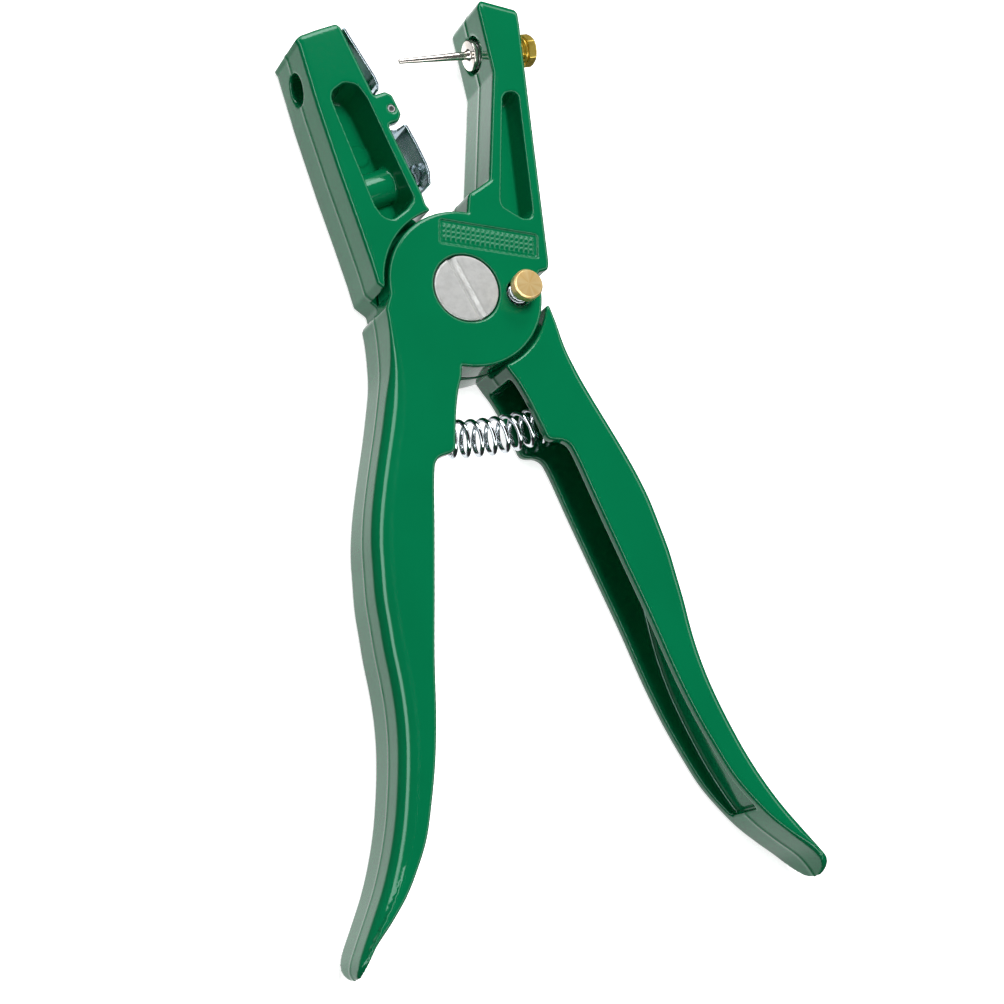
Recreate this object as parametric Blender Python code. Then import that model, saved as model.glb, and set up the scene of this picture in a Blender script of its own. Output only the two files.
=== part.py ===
"""Ear tag applicator: two cast levers half-lapped on one slotted pivot screw.

The pin lever is the front half of the hub: its jaw stands upper right and its handle
lower left. The tag lever is the rear half: its jaw stands upper left with the spring
clip that holds a tag, and its handle is lower right. Metres, +Z is the front face.
The origin is on the pivot axis, in the plane of the back faces.
"""
import math

import bmesh
import bpy
import numpy as np
from mathutils import Matrix, Vector

MM = 0.001

# Clearances and overruns
GAP = 0.3 * MM
OVERRUN = 3.0 * MM

# Castings
THICKNESS = 20.0 * MM
HUB_RADIUS = 21.2 * MM
HUB_RUN = 1.0 * MM
HUB_SEAM = 1.1 * MM
DRAFT_SHARE = 0.06
HANDLE_FILLET = 3.0 * MM
JAW_FILLET = 0.9 * MM
PIN_JAW_FILLET = 1.0 * MM
EDGE_FILLET = 0.6 * MM
FILLET_TURNS = (0, 45, 90)
HUB_STEP_DEGREES = 7.5

# Handles, the same outline mirrored: shares of the spread (x) and of the length (y)
HANDLE_LENGTH = 162.1 * MM
PIN_HANDLE_SPREAD = 64.9 * MM
TAG_HANDLE_SPREAD = 63.1 * MM
HANDLE_OUTER_SHARES = (
    (0.358, 0.037), (0.367, 0.072), (0.385, 0.113), (0.420, 0.157), (0.459, 0.201),
    (0.501, 0.245), (0.542, 0.289), (0.578, 0.332), (0.606, 0.375), (0.623, 0.417),
    (0.638, 0.460), (0.644, 0.502), (0.649, 0.542), (0.650, 0.584), (0.655, 0.624),
    (0.668, 0.666), (0.689, 0.707), (0.717, 0.749), (0.750, 0.791), (0.794, 0.835),
    (0.847, 0.878), (0.914, 0.922), (0.963, 0.953), (0.994, 0.975), (1.000, 0.988),
    (0.991, 0.997),
)
HANDLE_INNER_SHARES = (
    (0.972, 1.000), (0.941, 0.985), (0.897, 0.958), (0.819, 0.925), (0.764, 0.897),
    (0.716, 0.866), (0.656, 0.826), (0.606, 0.776), (0.560, 0.722), (0.519, 0.661),
    (0.469, 0.566), (0.413, 0.472), (0.354, 0.372), (0.302, 0.283), (0.290, 0.272),
    (0.267, 0.265), (0.219, 0.261), (0.200, 0.256), (0.187, 0.238), (0.156, 0.193),
    (0.126, 0.160), (0.105, 0.144),
)
PIN_HANDLE_START_SHARES = (0.357, 0.020)
TAG_HANDLE_START_SHARES = (0.352, 0.040)
TAG_HANDLE_SKIP = 1
HANDLE_TIP_CORNERS = 4
CHANNEL_FLANGE = 3.3 * MM
CHANNEL_WEB = 3.9 * MM
CHANNEL_TOP_RADIUS = 25.5 * MM
CHANNEL_END_SHARE = 0.885
CHANNEL_FROM = -112.0
CHANNEL_STEP_DEGREES = 8.0

# Pin jaw: shares of its reach (x) and of its length (y), from the notch up and round
PIN_JAW_REACH = 33.7 * MM
PIN_JAW_LENGTH = 79.3 * MM
PIN_JAW_SHARES = (
    (0.650, 0.032), (0.724, 0.037), (0.745, 0.059), (0.869, 0.491), (0.994, 0.916),
    (1.000, 0.941), (0.976, 0.967), (0.866, 0.985), (0.730, 1.000), (0.688, 0.995),
    (0.653, 0.973), (0.653, 0.7465), (0.402, 0.367), (0.285, 0.3405), (0.204, 0.324),
    (0.186, 0.309),
)
PIN_POCKET_SHARES = (
    (0.682, 0.651), (0.721, 0.668), (0.795, 0.670), (0.825, 0.656), (0.706, 0.246),
    (0.668, 0.219), (0.602, 0.222), (0.466, 0.266), (0.454, 0.285),
)
PIN_POCKET_DEPTH = 7.5 * MM
POCKET_TAPER = 0.8 * MM
PIN_HUB_FROM = 76.2
PIN_HUB_TO = 178.5
PIN_HUB_LAST_FROM = 253.7
PIN_HUB_LAST_TO = 365.0

# Tag jaw: shares of its reach (x, to the left) and of its length (y)
TAG_JAW_REACH = 31.5 * MM
TAG_JAW_LENGTH = 74.5 * MM
TAG_SIDE_SHARES = (
    (0.759, 0.046), (0.775, 0.128), (0.816, 0.271), (0.873, 0.455), (0.937, 0.701),
    (0.978, 0.925), (1.000, 0.942), (0.946, 0.960), (0.787, 0.981), (0.610, 1.000),
)
TAG_FACE_TOP_SHARES = (0.570, 0.985)
TAG_FACE_FOOT_SHARES = (0.1905, 0.350)
TAG_FOOT_SHARES = (0.181, 0.313)
TAG_POCKET_SHARES = (
    (0.654, 0.778), (0.775, 0.747), (0.797, 0.718), (0.629, 0.321), (0.581, 0.280),
    (0.502, 0.266), (0.359, 0.302), (0.277, 0.337), (0.295, 0.367), (0.486, 0.712),
    (0.546, 0.765),
)
TAG_POCKET_DEPTH = 11.5 * MM
TAG_BACK_DEPTH = 4.0 * MM
TAG_HUB_FROM = 101.0
TAG_HUB_TO = -17.5
TAG_HUB_LAST_FROM = -75.5
TAG_HUB_LAST_TO = -181.5

# Hinge lugs on the tag jaw's face: heights up the face and stand-off from it
LUG_FOOT = 20.2 * MM
LUG_TOP = 29.1 * MM
LUG_STAND = 4.5 * MM
LUG_CORNER = 1.2 * MM
LUG_THICKNESS = 3.5 * MM

# Clip that holds the tag, hinged on a pin through the lugs
CLIP_SHEET = 0.9 * MM
CLIP_HINGE_HEIGHT = 24.0 * MM
CLIP_HINGE_STAND = 2.6 * MM
CLIP_PIN_RADIUS = 1.0 * MM
CLIP_EAR_RADIUS = 2.1 * MM
CLIP_TOP_MARGIN = 0.6 * MM
CLIP_BULGE_HEIGHT = 32.4 * MM
CLIP_BULGE = 2.6 * MM
CLIP_BULGE_REACH = 3.0 * MM
CLIP_NECK_MARGIN = 0.8 * MM
CLIP_THUMB_STAND = 4.8 * MM
CLIP_THUMB_END = 2.6 * MM
CLIP_THUMB_END_STAND = 3.0 * MM
CLIP_SIDE_MARGIN = 1.5 * MM
CLIP_THUMB_MARGIN = 2.5 * MM
CLIP_SLOT_WIDTH = 9.4 * MM
CLIP_SLOT_FOOT = 35.5 * MM
CLIP_SPRING_HEIGHT = 7.7 * MM
CLIP_SPRING_RADIUS = 2.6 * MM
CLIP_SPRING_WIRE = 0.8 * MM
CLIP_SPRING_TURNS = 6
CLIP_BORE_DEPTH = 7.0 * MM
CLIP_BOSS_RADIUS = 4.75 * MM

# Bore in the tag jaw that the pin passes into
EXIT_RADIUS = 3.9 * MM
EXIT_SLOPE = 28.1
EXIT_MOUTH_SHARES = (0.958, 0.811)

# Piercing pin and its bolt, on one axis across the pin jaw
PIN_TIP_SHARES = (0.006, 0.844)
PIN_SLOPE = 2.6
PIN_LENGTH = 20.7 * MM
PIN_RADIUS = 1.15 * MM
PIN_TIP_RADIUS = 0.65 * MM
PIN_POINT = 0.9 * MM
PIN_FLANGE_RADIUS = 4.1 * MM
PIN_FLANGE = 1.3 * MM
PIN_SHANK_RADIUS = 1.5 * MM
PIN_SHANK = 5.5 * MM
COLLAR_RADIUS = 3.7 * MM
COLLAR = 3.0 * MM
SPOT_RADIUS = 5.0 * MM
BOLT_RADIUS = 2.65 * MM
BOLT_NECK = 11.0 * MM
BOLT_SOCKET = 4.0 * MM
BOLT_HEAD = 3.1 * MM
BOLT_FLATS = 8.0 * MM
BOLT_CHAMFER = 0.5 * MM

# Pivot screw from the front, round nut in the back
SCREW_HEAD_RADIUS = 8.8 * MM
SCREW_HEAD = 2.8 * MM
SCREW_SINK = 0.2 * MM
SCREW_CHAMFER = 0.5 * MM
SCREW_SHOULDER_RADIUS = 5.0 * MM
SCREW_THREAD_RADIUS = 3.6 * MM
SCREW_THREAD = 2.3 * MM
SLOT_WIDTH = 2.0 * MM
SLOT_DEPTH = 1.4 * MM
SLOT_TURN = -70.7
NUT_RADIUS = 8.0 * MM
NUT_HEIGHT = 3.2 * MM
WASHER_RADIUS = 11.0 * MM
HEAD_BORE_RADIUS = 9.2 * MM

# Lock button through the front half of the hub
LOCK_RADIUS = 14.4 * MM
LOCK_TURN = -10.0
LOCK_CLOSED_TURN = 25.0
LOCK_KNOB_RADIUS = 4.0 * MM
LOCK_KNOB_HEIGHT = 3.9 * MM
LOCK_KNOB_STEP_RADIUS = 3.2 * MM
LOCK_KNOB_STEP = 1.0 * MM
LOCK_KNOB_EDGE = 0.5 * MM
LOCK_STAND = 2.6 * MM
LOCK_STEM_RADIUS = 2.0 * MM
LOCK_STEM_TIP = 0.55 * MM
LOCK_GROOVE = 0.4 * MM
LOCK_WELL_RADIUS = 3.4 * MM
LOCK_WELL_DEPTH = 3.0 * MM
LOCK_RECESS_RADIUS = 4.3 * MM
LOCK_RECESS_DEPTH = 3.55 * MM
LOCK_RING_RADIUS = 3.9 * MM
LOCK_RING = 0.6 * MM
LOCK_WIRE = 0.6 * MM
LOCK_TURNS = 4
LOCK_HOLE_DEPTH = 1.6 * MM
LOCK_HOLE_SPARE = 0.4 * MM

# Return spring, bowed between the two webs
SPRING_BOW = 84.0 * MM
SPRING_DROP = 37.0 * MM
SPRING_RADIUS = 4.25 * MM
SPRING_WIRE = 1.25 * MM
SPRING_TURNS = 17
SPRING_SEAT = 0.35 * MM
SPRING_PEG_RADIUS = 2.9 * MM
SPRING_PEG = 5.0 * MM
SPRING_PEG_ROOT = 1.5 * MM
COIL_POINTS = 9

# Shallow plain panel on the hub
PANEL_LENGTH = 27.2 * MM
PANEL_HEIGHT = 6.6 * MM
PANEL_DEPTH = 0.4 * MM
PANEL_TURN = -13.6
PANEL_CENTRE_RADIUS = 15.8 * MM
PANEL_CENTRE_TURN = 53.5

TURN_STEPS = 32
WIDE_STEPS = 48


def clear_scene():
    """Start from an empty file."""
    for item in list(bpy.data.objects):
        bpy.data.objects.remove(item, do_unlink=True)


def finish(name, colour, metallic, roughness):
    """A Principled material with a colour, a metallic value and a roughness."""
    made = bpy.data.materials.new(name)
    made.use_nodes = True
    shader = made.node_tree.nodes["Principled BSDF"]
    shader.inputs["Base Color"].default_value = (*colour, 1.0)
    shader.inputs["Metallic"].default_value = metallic
    shader.inputs["Roughness"].default_value = roughness
    return made


def link_mesh(name, bm, material, parent=None):
    """Put a finished bmesh in the scene as one smooth-shaded object."""
    bmesh.ops.recalc_face_normals(bm, faces=bm.faces)
    mesh = bpy.data.meshes.new(name)
    bm.to_mesh(mesh)
    bm.free()
    mesh.shade_smooth()
    mesh.set_sharp_from_angle(angle=math.radians(30))
    made = bpy.data.objects.new(name, mesh)
    bpy.context.scene.collection.objects.link(made)
    if material is not None:
        mesh.materials.append(material)
    made.parent = parent
    return made


def empty_at(name, place, parent=None):
    """An empty that marks a joint's axis."""
    made = bpy.data.objects.new(name, None)
    made.location = place
    made.parent = parent
    bpy.context.scene.collection.objects.link(made)
    return made


def loft(name, rings, material=None, parent=None):
    """Skin a closed body over rings of equal count, with a flat cap at each end."""
    bm = bmesh.new()
    rows = [[bm.verts.new(point) for point in ring] for ring in rings]
    count = len(rows[0])
    for low, high in zip(rows, rows[1:]):
        for index in range(count):
            after = (index + 1) % count
            bm.faces.new((low[index], low[after], high[after], high[index]))
    bm.faces.new(list(reversed(rows[0])))
    bm.faces.new(rows[-1])
    return link_mesh(name, bm, material, parent)


def frame_on(start, direction):
    """A matrix whose Z runs along a direction from a start point."""
    turn = Vector(direction).to_track_quat("Z", "Y").to_matrix().to_4x4()
    return Matrix.Translation(start) @ turn


def turned(name, profile, place=None, steps=TURN_STEPS, material=None, parent=None):
    """Spin a profile of (radius, height) about Z; it closes on the axis or on itself."""
    place = place or Matrix.Identity(4)
    bm = bmesh.new()
    rows = []
    for radius, height in profile:
        if radius == 0:
            rows.append([bm.verts.new((0, 0, height))])
            continue
        turns = [2 * math.pi * step / steps for step in range(steps)]
        rows.append([bm.verts.new((radius * math.cos(t), radius * math.sin(t), height))
                     for t in turns])
    pairs = list(zip(rows, rows[1:]))
    if len(rows[0]) > 1:
        pairs.append((rows[-1], rows[0]))
    for low, high in pairs:
        for step in range(steps):
            after = (step + 1) % steps
            corners = [low[step % len(low)], low[after % len(low)],
                       high[after % len(high)], high[step % len(high)]]
            bm.faces.new(list(dict.fromkeys(corners)))
    bmesh.ops.transform(bm, matrix=place, verts=bm.verts)
    return link_mesh(name, bm, material, parent)


def rod(name, radius, start, end, steps=TURN_STEPS, **options):
    """A plain cylinder from a start point to an end point."""
    run = Vector(end) - Vector(start)
    profile = [(0, 0), (radius, 0), (radius, run.length), (0, run.length)]
    return turned(name, profile, frame_on(start, run), steps, **options)


def stepped_bore(name, stretches, place=None, steps=TURN_STEPS):
    """The cutter of a bore whose radius steps: (radius, low, high) from the low end up."""
    profile = [(0, stretches[0][1])]
    for radius, low, high in stretches:
        profile += [(radius, low), (radius, high)]
    profile.append((0, stretches[-1][2]))
    return turned(name, profile, place, steps)


def prism(name, plan, low, high, **options):
    """Extrude a plan outline between two heights."""
    rings = [[(x, y, height) for x, y in plan] for height in (low, high)]
    return loft(name, rings, **options)


def combine(body, tool, operation="DIFFERENCE"):
    """Cut a body with a hidden tool, or join the tool to it."""
    tool.hide_render = True
    tool.display_type = "WIRE"
    modifier = body.modifiers.new(tool.name, "BOOLEAN")
    modifier.operation = operation
    modifier.solver = "EXACT"
    modifier.object = tool


def arc(radius, start, end, step=HUB_STEP_DEGREES, centre=(0, 0)):
    """Points round an arc, both ends included, about a step of degrees apart."""
    count = max(2, round(abs(end - start) / step) + 1)
    turns = np.radians(np.linspace(start, end, count))
    return [(centre[0] + radius * math.cos(t), centre[1] + radius * math.sin(t))
            for t in turns]


def placed(shares, wide, tall):
    """Points from shares of a width and of a height."""
    return [(x_share * wide, y_share * tall) for x_share, y_share in shares]


def inward_normals(plan):
    """Unit normals into a closed outline, lengthened at corners so that walls stay parallel."""
    ahead = np.roll(plan, -1, axis=0) - plan
    ahead /= np.linalg.norm(ahead, axis=1)[:, None]
    behind = np.roll(ahead, 1, axis=0)
    area = np.sum(plan[:, 0] * np.roll(plan[:, 1], -1) - plan[:, 1] * np.roll(plan[:, 0], -1))
    side = 1 if area > 0 else -1
    normal = side * np.stack([-(ahead + behind)[:, 1], (ahead + behind)[:, 0]], axis=1)
    normal /= np.linalg.norm(normal, axis=1)[:, None]
    square = side * np.stack([-ahead[:, 1], ahead[:, 0]], axis=1)
    lean = np.clip(np.sum(normal * square, axis=1), 0.7, 1)
    return normal / lean[:, None]


def inset(plan, distance):
    """Move a closed outline inwards by a distance, or by one distance for each point."""
    plan = np.array(plan)
    return plan + inward_normals(plan) * np.reshape(distance, (-1, 1))


def casting(name, stretches, material, parent=None):
    """A full-thickness casting: filleted at both faces, drafted to a parting line between."""
    plan = [point for points, fillet in stretches for point in points]
    fillet = np.array([size for points, size in stretches for point in points])
    draft = fillet * DRAFT_SHARE
    levels = []
    for turn in FILLET_TURNS:
        sink = fillet * (1 - math.sin(math.radians(turn))) + draft
        levels.append((sink, fillet * (1 - math.cos(math.radians(turn)))))
    levels.append((0 * fillet, 0 * fillet + THICKNESS / 2))
    rings = [np.column_stack([inset(plan, sink), rise]) for sink, rise in levels]
    rings += [np.column_stack([inset(plan, sink), THICKNESS - rise])
              for sink, rise in reversed(levels[:-1])]
    return loft(name, rings, material, parent)


def pocket(name, plan, face, floor):
    """A pocket's cutter: the outline at the face, tapering to a smaller floor."""
    past = face + math.copysign(OVERRUN, face - floor)
    rings = [[(x, y, past) for x, y in plan], [(x, y, face) for x, y in plan],
             [(x, y, floor) for x, y in inset(plan, POCKET_TAPER)]]
    return loft(name, rings)


def handle_edges(side, start_shares, skip):
    """The outer edge, top to tip, and the inner edge, tip to top, of one handle."""
    wide = TAG_HANDLE_SPREAD if side > 0 else -PIN_HANDLE_SPREAD
    outer_shares = (start_shares,) + HANDLE_OUTER_SHARES[skip:]
    outer = placed(outer_shares, wide, -HANDLE_LENGTH)
    inner = placed(HANDLE_INNER_SHARES, wide, -HANDLE_LENGTH)
    return outer, inner


def web_line(side):
    """The inner face of a handle's web, from the top down, mirrored to the right."""
    outer, inner = handle_edges(side, TAG_HANDLE_START_SHARES, TAG_HANDLE_SKIP)
    mirrored = [(side * x, y) for x, y in outer + inner]
    moved = inset(mirrored, CHANNEL_WEB)[:len(outer)]
    return np.array(moved)


def channel(name, side):
    """The cutter of one handle's channel, open towards the other handle."""
    line = web_line(side)
    end = -CHANNEL_END_SHARE * HANDLE_LENGTH
    radii = np.hypot(line[:, 0], line[:, 1])
    kept = line[(radii > CHANNEL_TOP_RADIUS) & (line[:, 1] > end)]
    last = (np.interp(-end, -line[:, 1], line[:, 0]), end)
    first_turn = math.degrees(math.atan2(kept[0][1], kept[0][0]))
    top = arc(CHANNEL_TOP_RADIUS, CHANNEL_FROM, first_turn, CHANNEL_STEP_DEGREES)
    plan = top[:-1] + [tuple(point) for point in kept] + [last, (top[0][0], end)]
    plan = [(side * x, y) for x, y in plan]
    return prism(name, plan, CHANNEL_FLANGE, THICKNESS - CHANNEL_FLANGE)


def spring_half(side):
    """The turn, in radians from the bow's lowest point, at which it meets a handle's web."""
    centre = SPRING_BOW - SPRING_DROP
    line = web_line(side)
    away = np.hypot(line[:, 0], line[:, 1] - centre) - SPRING_BOW
    cross = int(np.argmax(away > 0))
    share = away[cross - 1] / (away[cross - 1] - away[cross])
    meet = line[cross - 1] + share * (line[cross] - line[cross - 1])
    return math.atan2(meet[0], centre - meet[1])


def bow_point(turn):
    """A point on the spring's bowed centre line, and the way along it, at a turn in radians."""
    centre = SPRING_BOW - SPRING_DROP
    point = Vector((SPRING_BOW * math.sin(turn), centre - SPRING_BOW * math.cos(turn),
                    THICKNESS / 2))
    along = Vector((math.cos(turn), math.sin(turn), 0))
    return point, along


def spring_peg(name, side):
    """The cast peg that holds one end of the return spring."""
    point, along = bow_point(side * spring_half(side))
    inner = point - along * side * SPRING_PEG
    outer = point + along * side * SPRING_PEG_ROOT
    return rod(name, SPRING_PEG_RADIUS, outer, inner, steps=16)


def cut_half_lap(body, low, high):
    """Clear the other lever's half of the hub."""
    tool = rod(body.name + "_lap", HUB_RADIUS + HUB_RUN, (0, 0, low), (0, 0, high), WIDE_STEPS)
    combine(body, tool)


def lock_spot(extra_turn=0.0):
    """The lock button's place on the hub, or its place seen from the turned tag lever."""
    turn = math.radians(LOCK_TURN + extra_turn)
    return LOCK_RADIUS * math.cos(turn), LOCK_RADIUS * math.sin(turn)


def pin_frame():
    """The tip of the piercing pin and the way along its axis, towards the bolt."""
    x, y = placed([PIN_TIP_SHARES], PIN_JAW_REACH, PIN_JAW_LENGTH)[0]
    slope = math.radians(PIN_SLOPE)
    return Vector((x, y, THICKNESS / 2)), Vector((math.cos(slope), math.sin(slope), 0))


def pin_back():
    """How far the bolt's end lies behind the pin's tip, along the pin's axis."""
    return PIN_LENGTH + PIN_FLANGE + GAP + COLLAR + GAP


def face_frame():
    """The foot of the tag jaw's face, the way up along it and the way straight off it."""
    foot = placed([TAG_FACE_FOOT_SHARES], -TAG_JAW_REACH, TAG_JAW_LENGTH)[0]
    top = placed([TAG_FACE_TOP_SHARES], -TAG_JAW_REACH, TAG_JAW_LENGTH)[0]
    run = Vector((top[0] - foot[0], top[1] - foot[1]))
    up = run.normalized()
    return Vector(foot), up, Vector((up.y, -up.x)), run.length


def on_face(height, stand):
    """A plan point at a height up the tag jaw's face and a stand-off from it."""
    foot, up, out, length = face_frame()
    point = foot + up * height + out * stand
    return point.x, point.y


def pin_lever(material):
    """The front lever: pin jaw, front half of the hub and left handle."""
    outer, inner = handle_edges(-1, PIN_HANDLE_START_SHARES, 0)
    stretches = [
        (placed(PIN_JAW_SHARES, PIN_JAW_REACH, PIN_JAW_LENGTH), PIN_JAW_FILLET),
        (arc(HUB_RADIUS, PIN_HUB_FROM, PIN_HUB_TO), EDGE_FILLET),
        (outer[:-HANDLE_TIP_CORNERS], HANDLE_FILLET),
        (outer[-HANDLE_TIP_CORNERS:] + inner, EDGE_FILLET),
        (arc(HUB_RADIUS, PIN_HUB_LAST_FROM, PIN_HUB_LAST_TO), EDGE_FILLET),
    ]
    body = casting("pin_lever", stretches, material)
    plan = placed(PIN_POCKET_SHARES, PIN_JAW_REACH, PIN_JAW_LENGTH)
    combine(body, pocket("pin_front_pocket", plan, THICKNESS, THICKNESS - PIN_POCKET_DEPTH))
    combine(body, pocket("pin_back_pocket", plan, 0, PIN_POCKET_DEPTH))
    combine(body, channel("pin_channel", -1))
    combine(body, spring_peg("pin_peg", -1), "UNION")
    seam = (THICKNESS + HUB_SEAM) / 2
    cut_half_lap(body, -OVERRUN, seam)
    head_floor = THICKNESS - SCREW_SINK - SCREW_HEAD - GAP
    combine(body, stepped_bore("screw_seat", [
        (SCREW_SHOULDER_RADIUS + GAP, seam - OVERRUN, head_floor),
        (HEAD_BORE_RADIUS, head_floor, THICKNESS + OVERRUN)], steps=WIDE_STEPS))
    cut_lock(body, seam)
    cut_pin_seat(body)
    cut_panel(body)
    return body


def cut_lock(body, seam):
    """The well, guide bore and inner recess of the lock button."""
    x, y = lock_spot()
    recess_floor = seam + LOCK_RECESS_DEPTH
    well_floor = THICKNESS - LOCK_WELL_DEPTH
    combine(body, stepped_bore("lock_bore", [
        (LOCK_RECESS_RADIUS, seam - OVERRUN, recess_floor),
        (LOCK_STEM_RADIUS + GAP, recess_floor, well_floor),
        (LOCK_WELL_RADIUS, well_floor, THICKNESS + OVERRUN)],
        Matrix.Translation((x, y, 0))))


def cut_pin_seat(body):
    """The spot face on the jaw's inner side and the bolt's bore through it."""
    tip, along = pin_frame()
    back = pin_back()
    floor = back - GAP
    combine(body, stepped_bore("pin_seat", [
        (SPOT_RADIUS, PIN_LENGTH - OVERRUN, floor),
        (BOLT_RADIUS + GAP, floor, back + BOLT_NECK + OVERRUN)],
        frame_on(tip, along), 24))


def cut_panel(body):
    """A shallow bare panel on the hub, tilted."""
    turn = math.radians(PANEL_TURN)
    along = Vector((math.cos(turn), math.sin(turn))) * (PANEL_LENGTH / 2)
    across = Vector((-math.sin(turn), math.cos(turn))) * (PANEL_HEIGHT / 2)
    middle = math.radians(PANEL_CENTRE_TURN)
    centre = Vector((math.cos(middle), math.sin(middle))) * PANEL_CENTRE_RADIUS
    corners = [centre - along - across, centre + along - across,
               centre + along + across, centre - along + across]
    combine(body, prism("panel", [tuple(corner) for corner in corners],
                        THICKNESS - PANEL_DEPTH, THICKNESS + OVERRUN))


def tag_lever(material, parent):
    """The rear lever: tag jaw, rear half of the hub and right handle."""
    outer, inner = handle_edges(1, TAG_HANDLE_START_SHARES, TAG_HANDLE_SKIP)
    lug = [on_face(LUG_TOP, 0), on_face(LUG_TOP, LUG_STAND - LUG_CORNER),
           on_face(LUG_TOP - LUG_CORNER, LUG_STAND), on_face(LUG_FOOT + LUG_CORNER, LUG_STAND),
           on_face(LUG_FOOT, LUG_STAND - LUG_CORNER), on_face(LUG_FOOT, 0)]
    edge = placed([TAG_FACE_FOOT_SHARES, TAG_FOOT_SHARES], -TAG_JAW_REACH, TAG_JAW_LENGTH)
    top = placed([TAG_FACE_TOP_SHARES], -TAG_JAW_REACH, TAG_JAW_LENGTH)
    stretches = [
        (outer[:-HANDLE_TIP_CORNERS], HANDLE_FILLET),
        (outer[-HANDLE_TIP_CORNERS:] + inner, EDGE_FILLET),
        (arc(HUB_RADIUS, TAG_HUB_LAST_FROM, TAG_HUB_LAST_TO), EDGE_FILLET),
        (placed(TAG_SIDE_SHARES, -TAG_JAW_REACH, TAG_JAW_LENGTH) + top, JAW_FILLET),
        (lug + edge, EDGE_FILLET),
        (arc(HUB_RADIUS, TAG_HUB_FROM, TAG_HUB_TO), EDGE_FILLET),
    ]
    body = casting("tag_lever", stretches, material, parent)
    cut_lug_gap(body)
    plan = placed(TAG_POCKET_SHARES, -TAG_JAW_REACH, TAG_JAW_LENGTH)
    combine(body, pocket("tag_front_pocket", plan, THICKNESS, THICKNESS - TAG_POCKET_DEPTH))
    combine(body, pocket("tag_back_pocket", plan, 0, TAG_BACK_DEPTH))
    cut_exit(body)
    add_clip_boss(body)
    combine(body, channel("tag_channel", 1))
    combine(body, spring_peg("tag_peg", 1), "UNION")
    seam = (THICKNESS - HUB_SEAM) / 2
    cut_half_lap(body, seam, THICKNESS + OVERRUN)
    cut_nut_seat(body, seam)
    for index, turn in enumerate((0.0, LOCK_CLOSED_TURN)):
        x, y = lock_spot(turn)
        combine(body, rod(f"lock_hole_{index}", LOCK_STEM_RADIUS + LOCK_HOLE_SPARE,
                          (x, y, seam - LOCK_HOLE_DEPTH), (x, y, seam + OVERRUN), 16))
    return body


def cut_lug_gap(body):
    """Clear the space between the front lug and the rear lug."""
    plan = [on_face(LUG_FOOT - OVERRUN, GAP / 10), on_face(LUG_TOP + OVERRUN, GAP / 10),
            on_face(LUG_TOP + OVERRUN, LUG_STAND + OVERRUN),
            on_face(LUG_FOOT - OVERRUN, LUG_STAND + OVERRUN)]
    combine(body, prism("lug_gap", plan, LUG_THICKNESS, THICKNESS - LUG_THICKNESS))
    x, y = on_face(CLIP_HINGE_HEIGHT, CLIP_HINGE_STAND)
    combine(body, rod("lug_bore", CLIP_PIN_RADIUS + GAP, (x, y, -OVERRUN),
                      (x, y, THICKNESS + OVERRUN), 24))


def add_clip_boss(body):
    """The round boss across the pocket that holds the clip spring, and its blind bore."""
    middle = THICKNESS / 2
    outer_wall = Vector((*on_face(CLIP_SPRING_HEIGHT, 0), middle))
    out = Vector((*face_frame()[2], 0))
    pocket_wide = TAG_JAW_REACH * (TAG_POCKET_SHARES[2][0] - TAG_POCKET_SHARES[7][0])
    boss = rod("clip_boss", CLIP_BOSS_RADIUS, outer_wall - out * pocket_wide,
               outer_wall - out * CLIP_BOSS_RADIUS / 4, 24)
    combine(body, boss, "UNION")
    combine(body, rod("clip_bore", CLIP_SPRING_RADIUS + CLIP_SPRING_WIRE / 2 + GAP,
                      outer_wall - out * CLIP_BORE_DEPTH, outer_wall + out * OVERRUN, 24))


def cut_nut_seat(body, seam):
    """The screw's bore and the round seat of the nut in the back."""
    floor = NUT_HEIGHT + GAP
    combine(body, stepped_bore("nut_seat", [
        (NUT_RADIUS + GAP, -OVERRUN, floor),
        (SCREW_SHOULDER_RADIUS + GAP, floor, seam + OVERRUN)], steps=WIDE_STEPS))


def cut_exit(body):
    """The bore across the tag jaw that takes the pin as the jaws close."""
    x, y = placed([EXIT_MOUTH_SHARES], -TAG_JAW_REACH, TAG_JAW_LENGTH)[0]
    slope = math.radians(EXIT_SLOPE)
    along = Vector((math.cos(slope), math.sin(slope), 0))
    mouth = Vector((x, y, THICKNESS / 2))
    combine(body, rod("exit_bore", EXIT_RADIUS, mouth - along * 2 * EXIT_RADIUS,
                      mouth + along * TAG_JAW_REACH, 24))


def pivot_screw(material):
    """Slotted shoulder screw: wide flat head, shoulder, short thread in the nut."""
    top = THICKNESS - SCREW_SINK
    under = top - SCREW_HEAD
    shoulder = NUT_HEIGHT + GAP
    low = shoulder - SCREW_THREAD
    profile = [(0, low), (SCREW_THREAD_RADIUS - SCREW_CHAMFER, low),
               (SCREW_THREAD_RADIUS, low + SCREW_CHAMFER), (SCREW_THREAD_RADIUS, shoulder),
               (SCREW_SHOULDER_RADIUS, shoulder), (SCREW_SHOULDER_RADIUS, under),
               (SCREW_HEAD_RADIUS, under), (SCREW_HEAD_RADIUS, top - SCREW_CHAMFER),
               (SCREW_HEAD_RADIUS - SCREW_CHAMFER, top), (0, top)]
    body = turned("pivot_screw", profile, steps=WIDE_STEPS, material=material)
    turn = math.radians(SLOT_TURN)
    along = Vector((math.cos(turn), math.sin(turn))) * (SCREW_HEAD_RADIUS + OVERRUN)
    across = Vector((-math.sin(turn), math.cos(turn))) * (SLOT_WIDTH / 2)
    corners = [-along - across, along - across, along + across, across - along]
    combine(body, prism("screw_slot", [tuple(c) for c in corners], top - SLOT_DEPTH,
                        top + OVERRUN))
    return body


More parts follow.
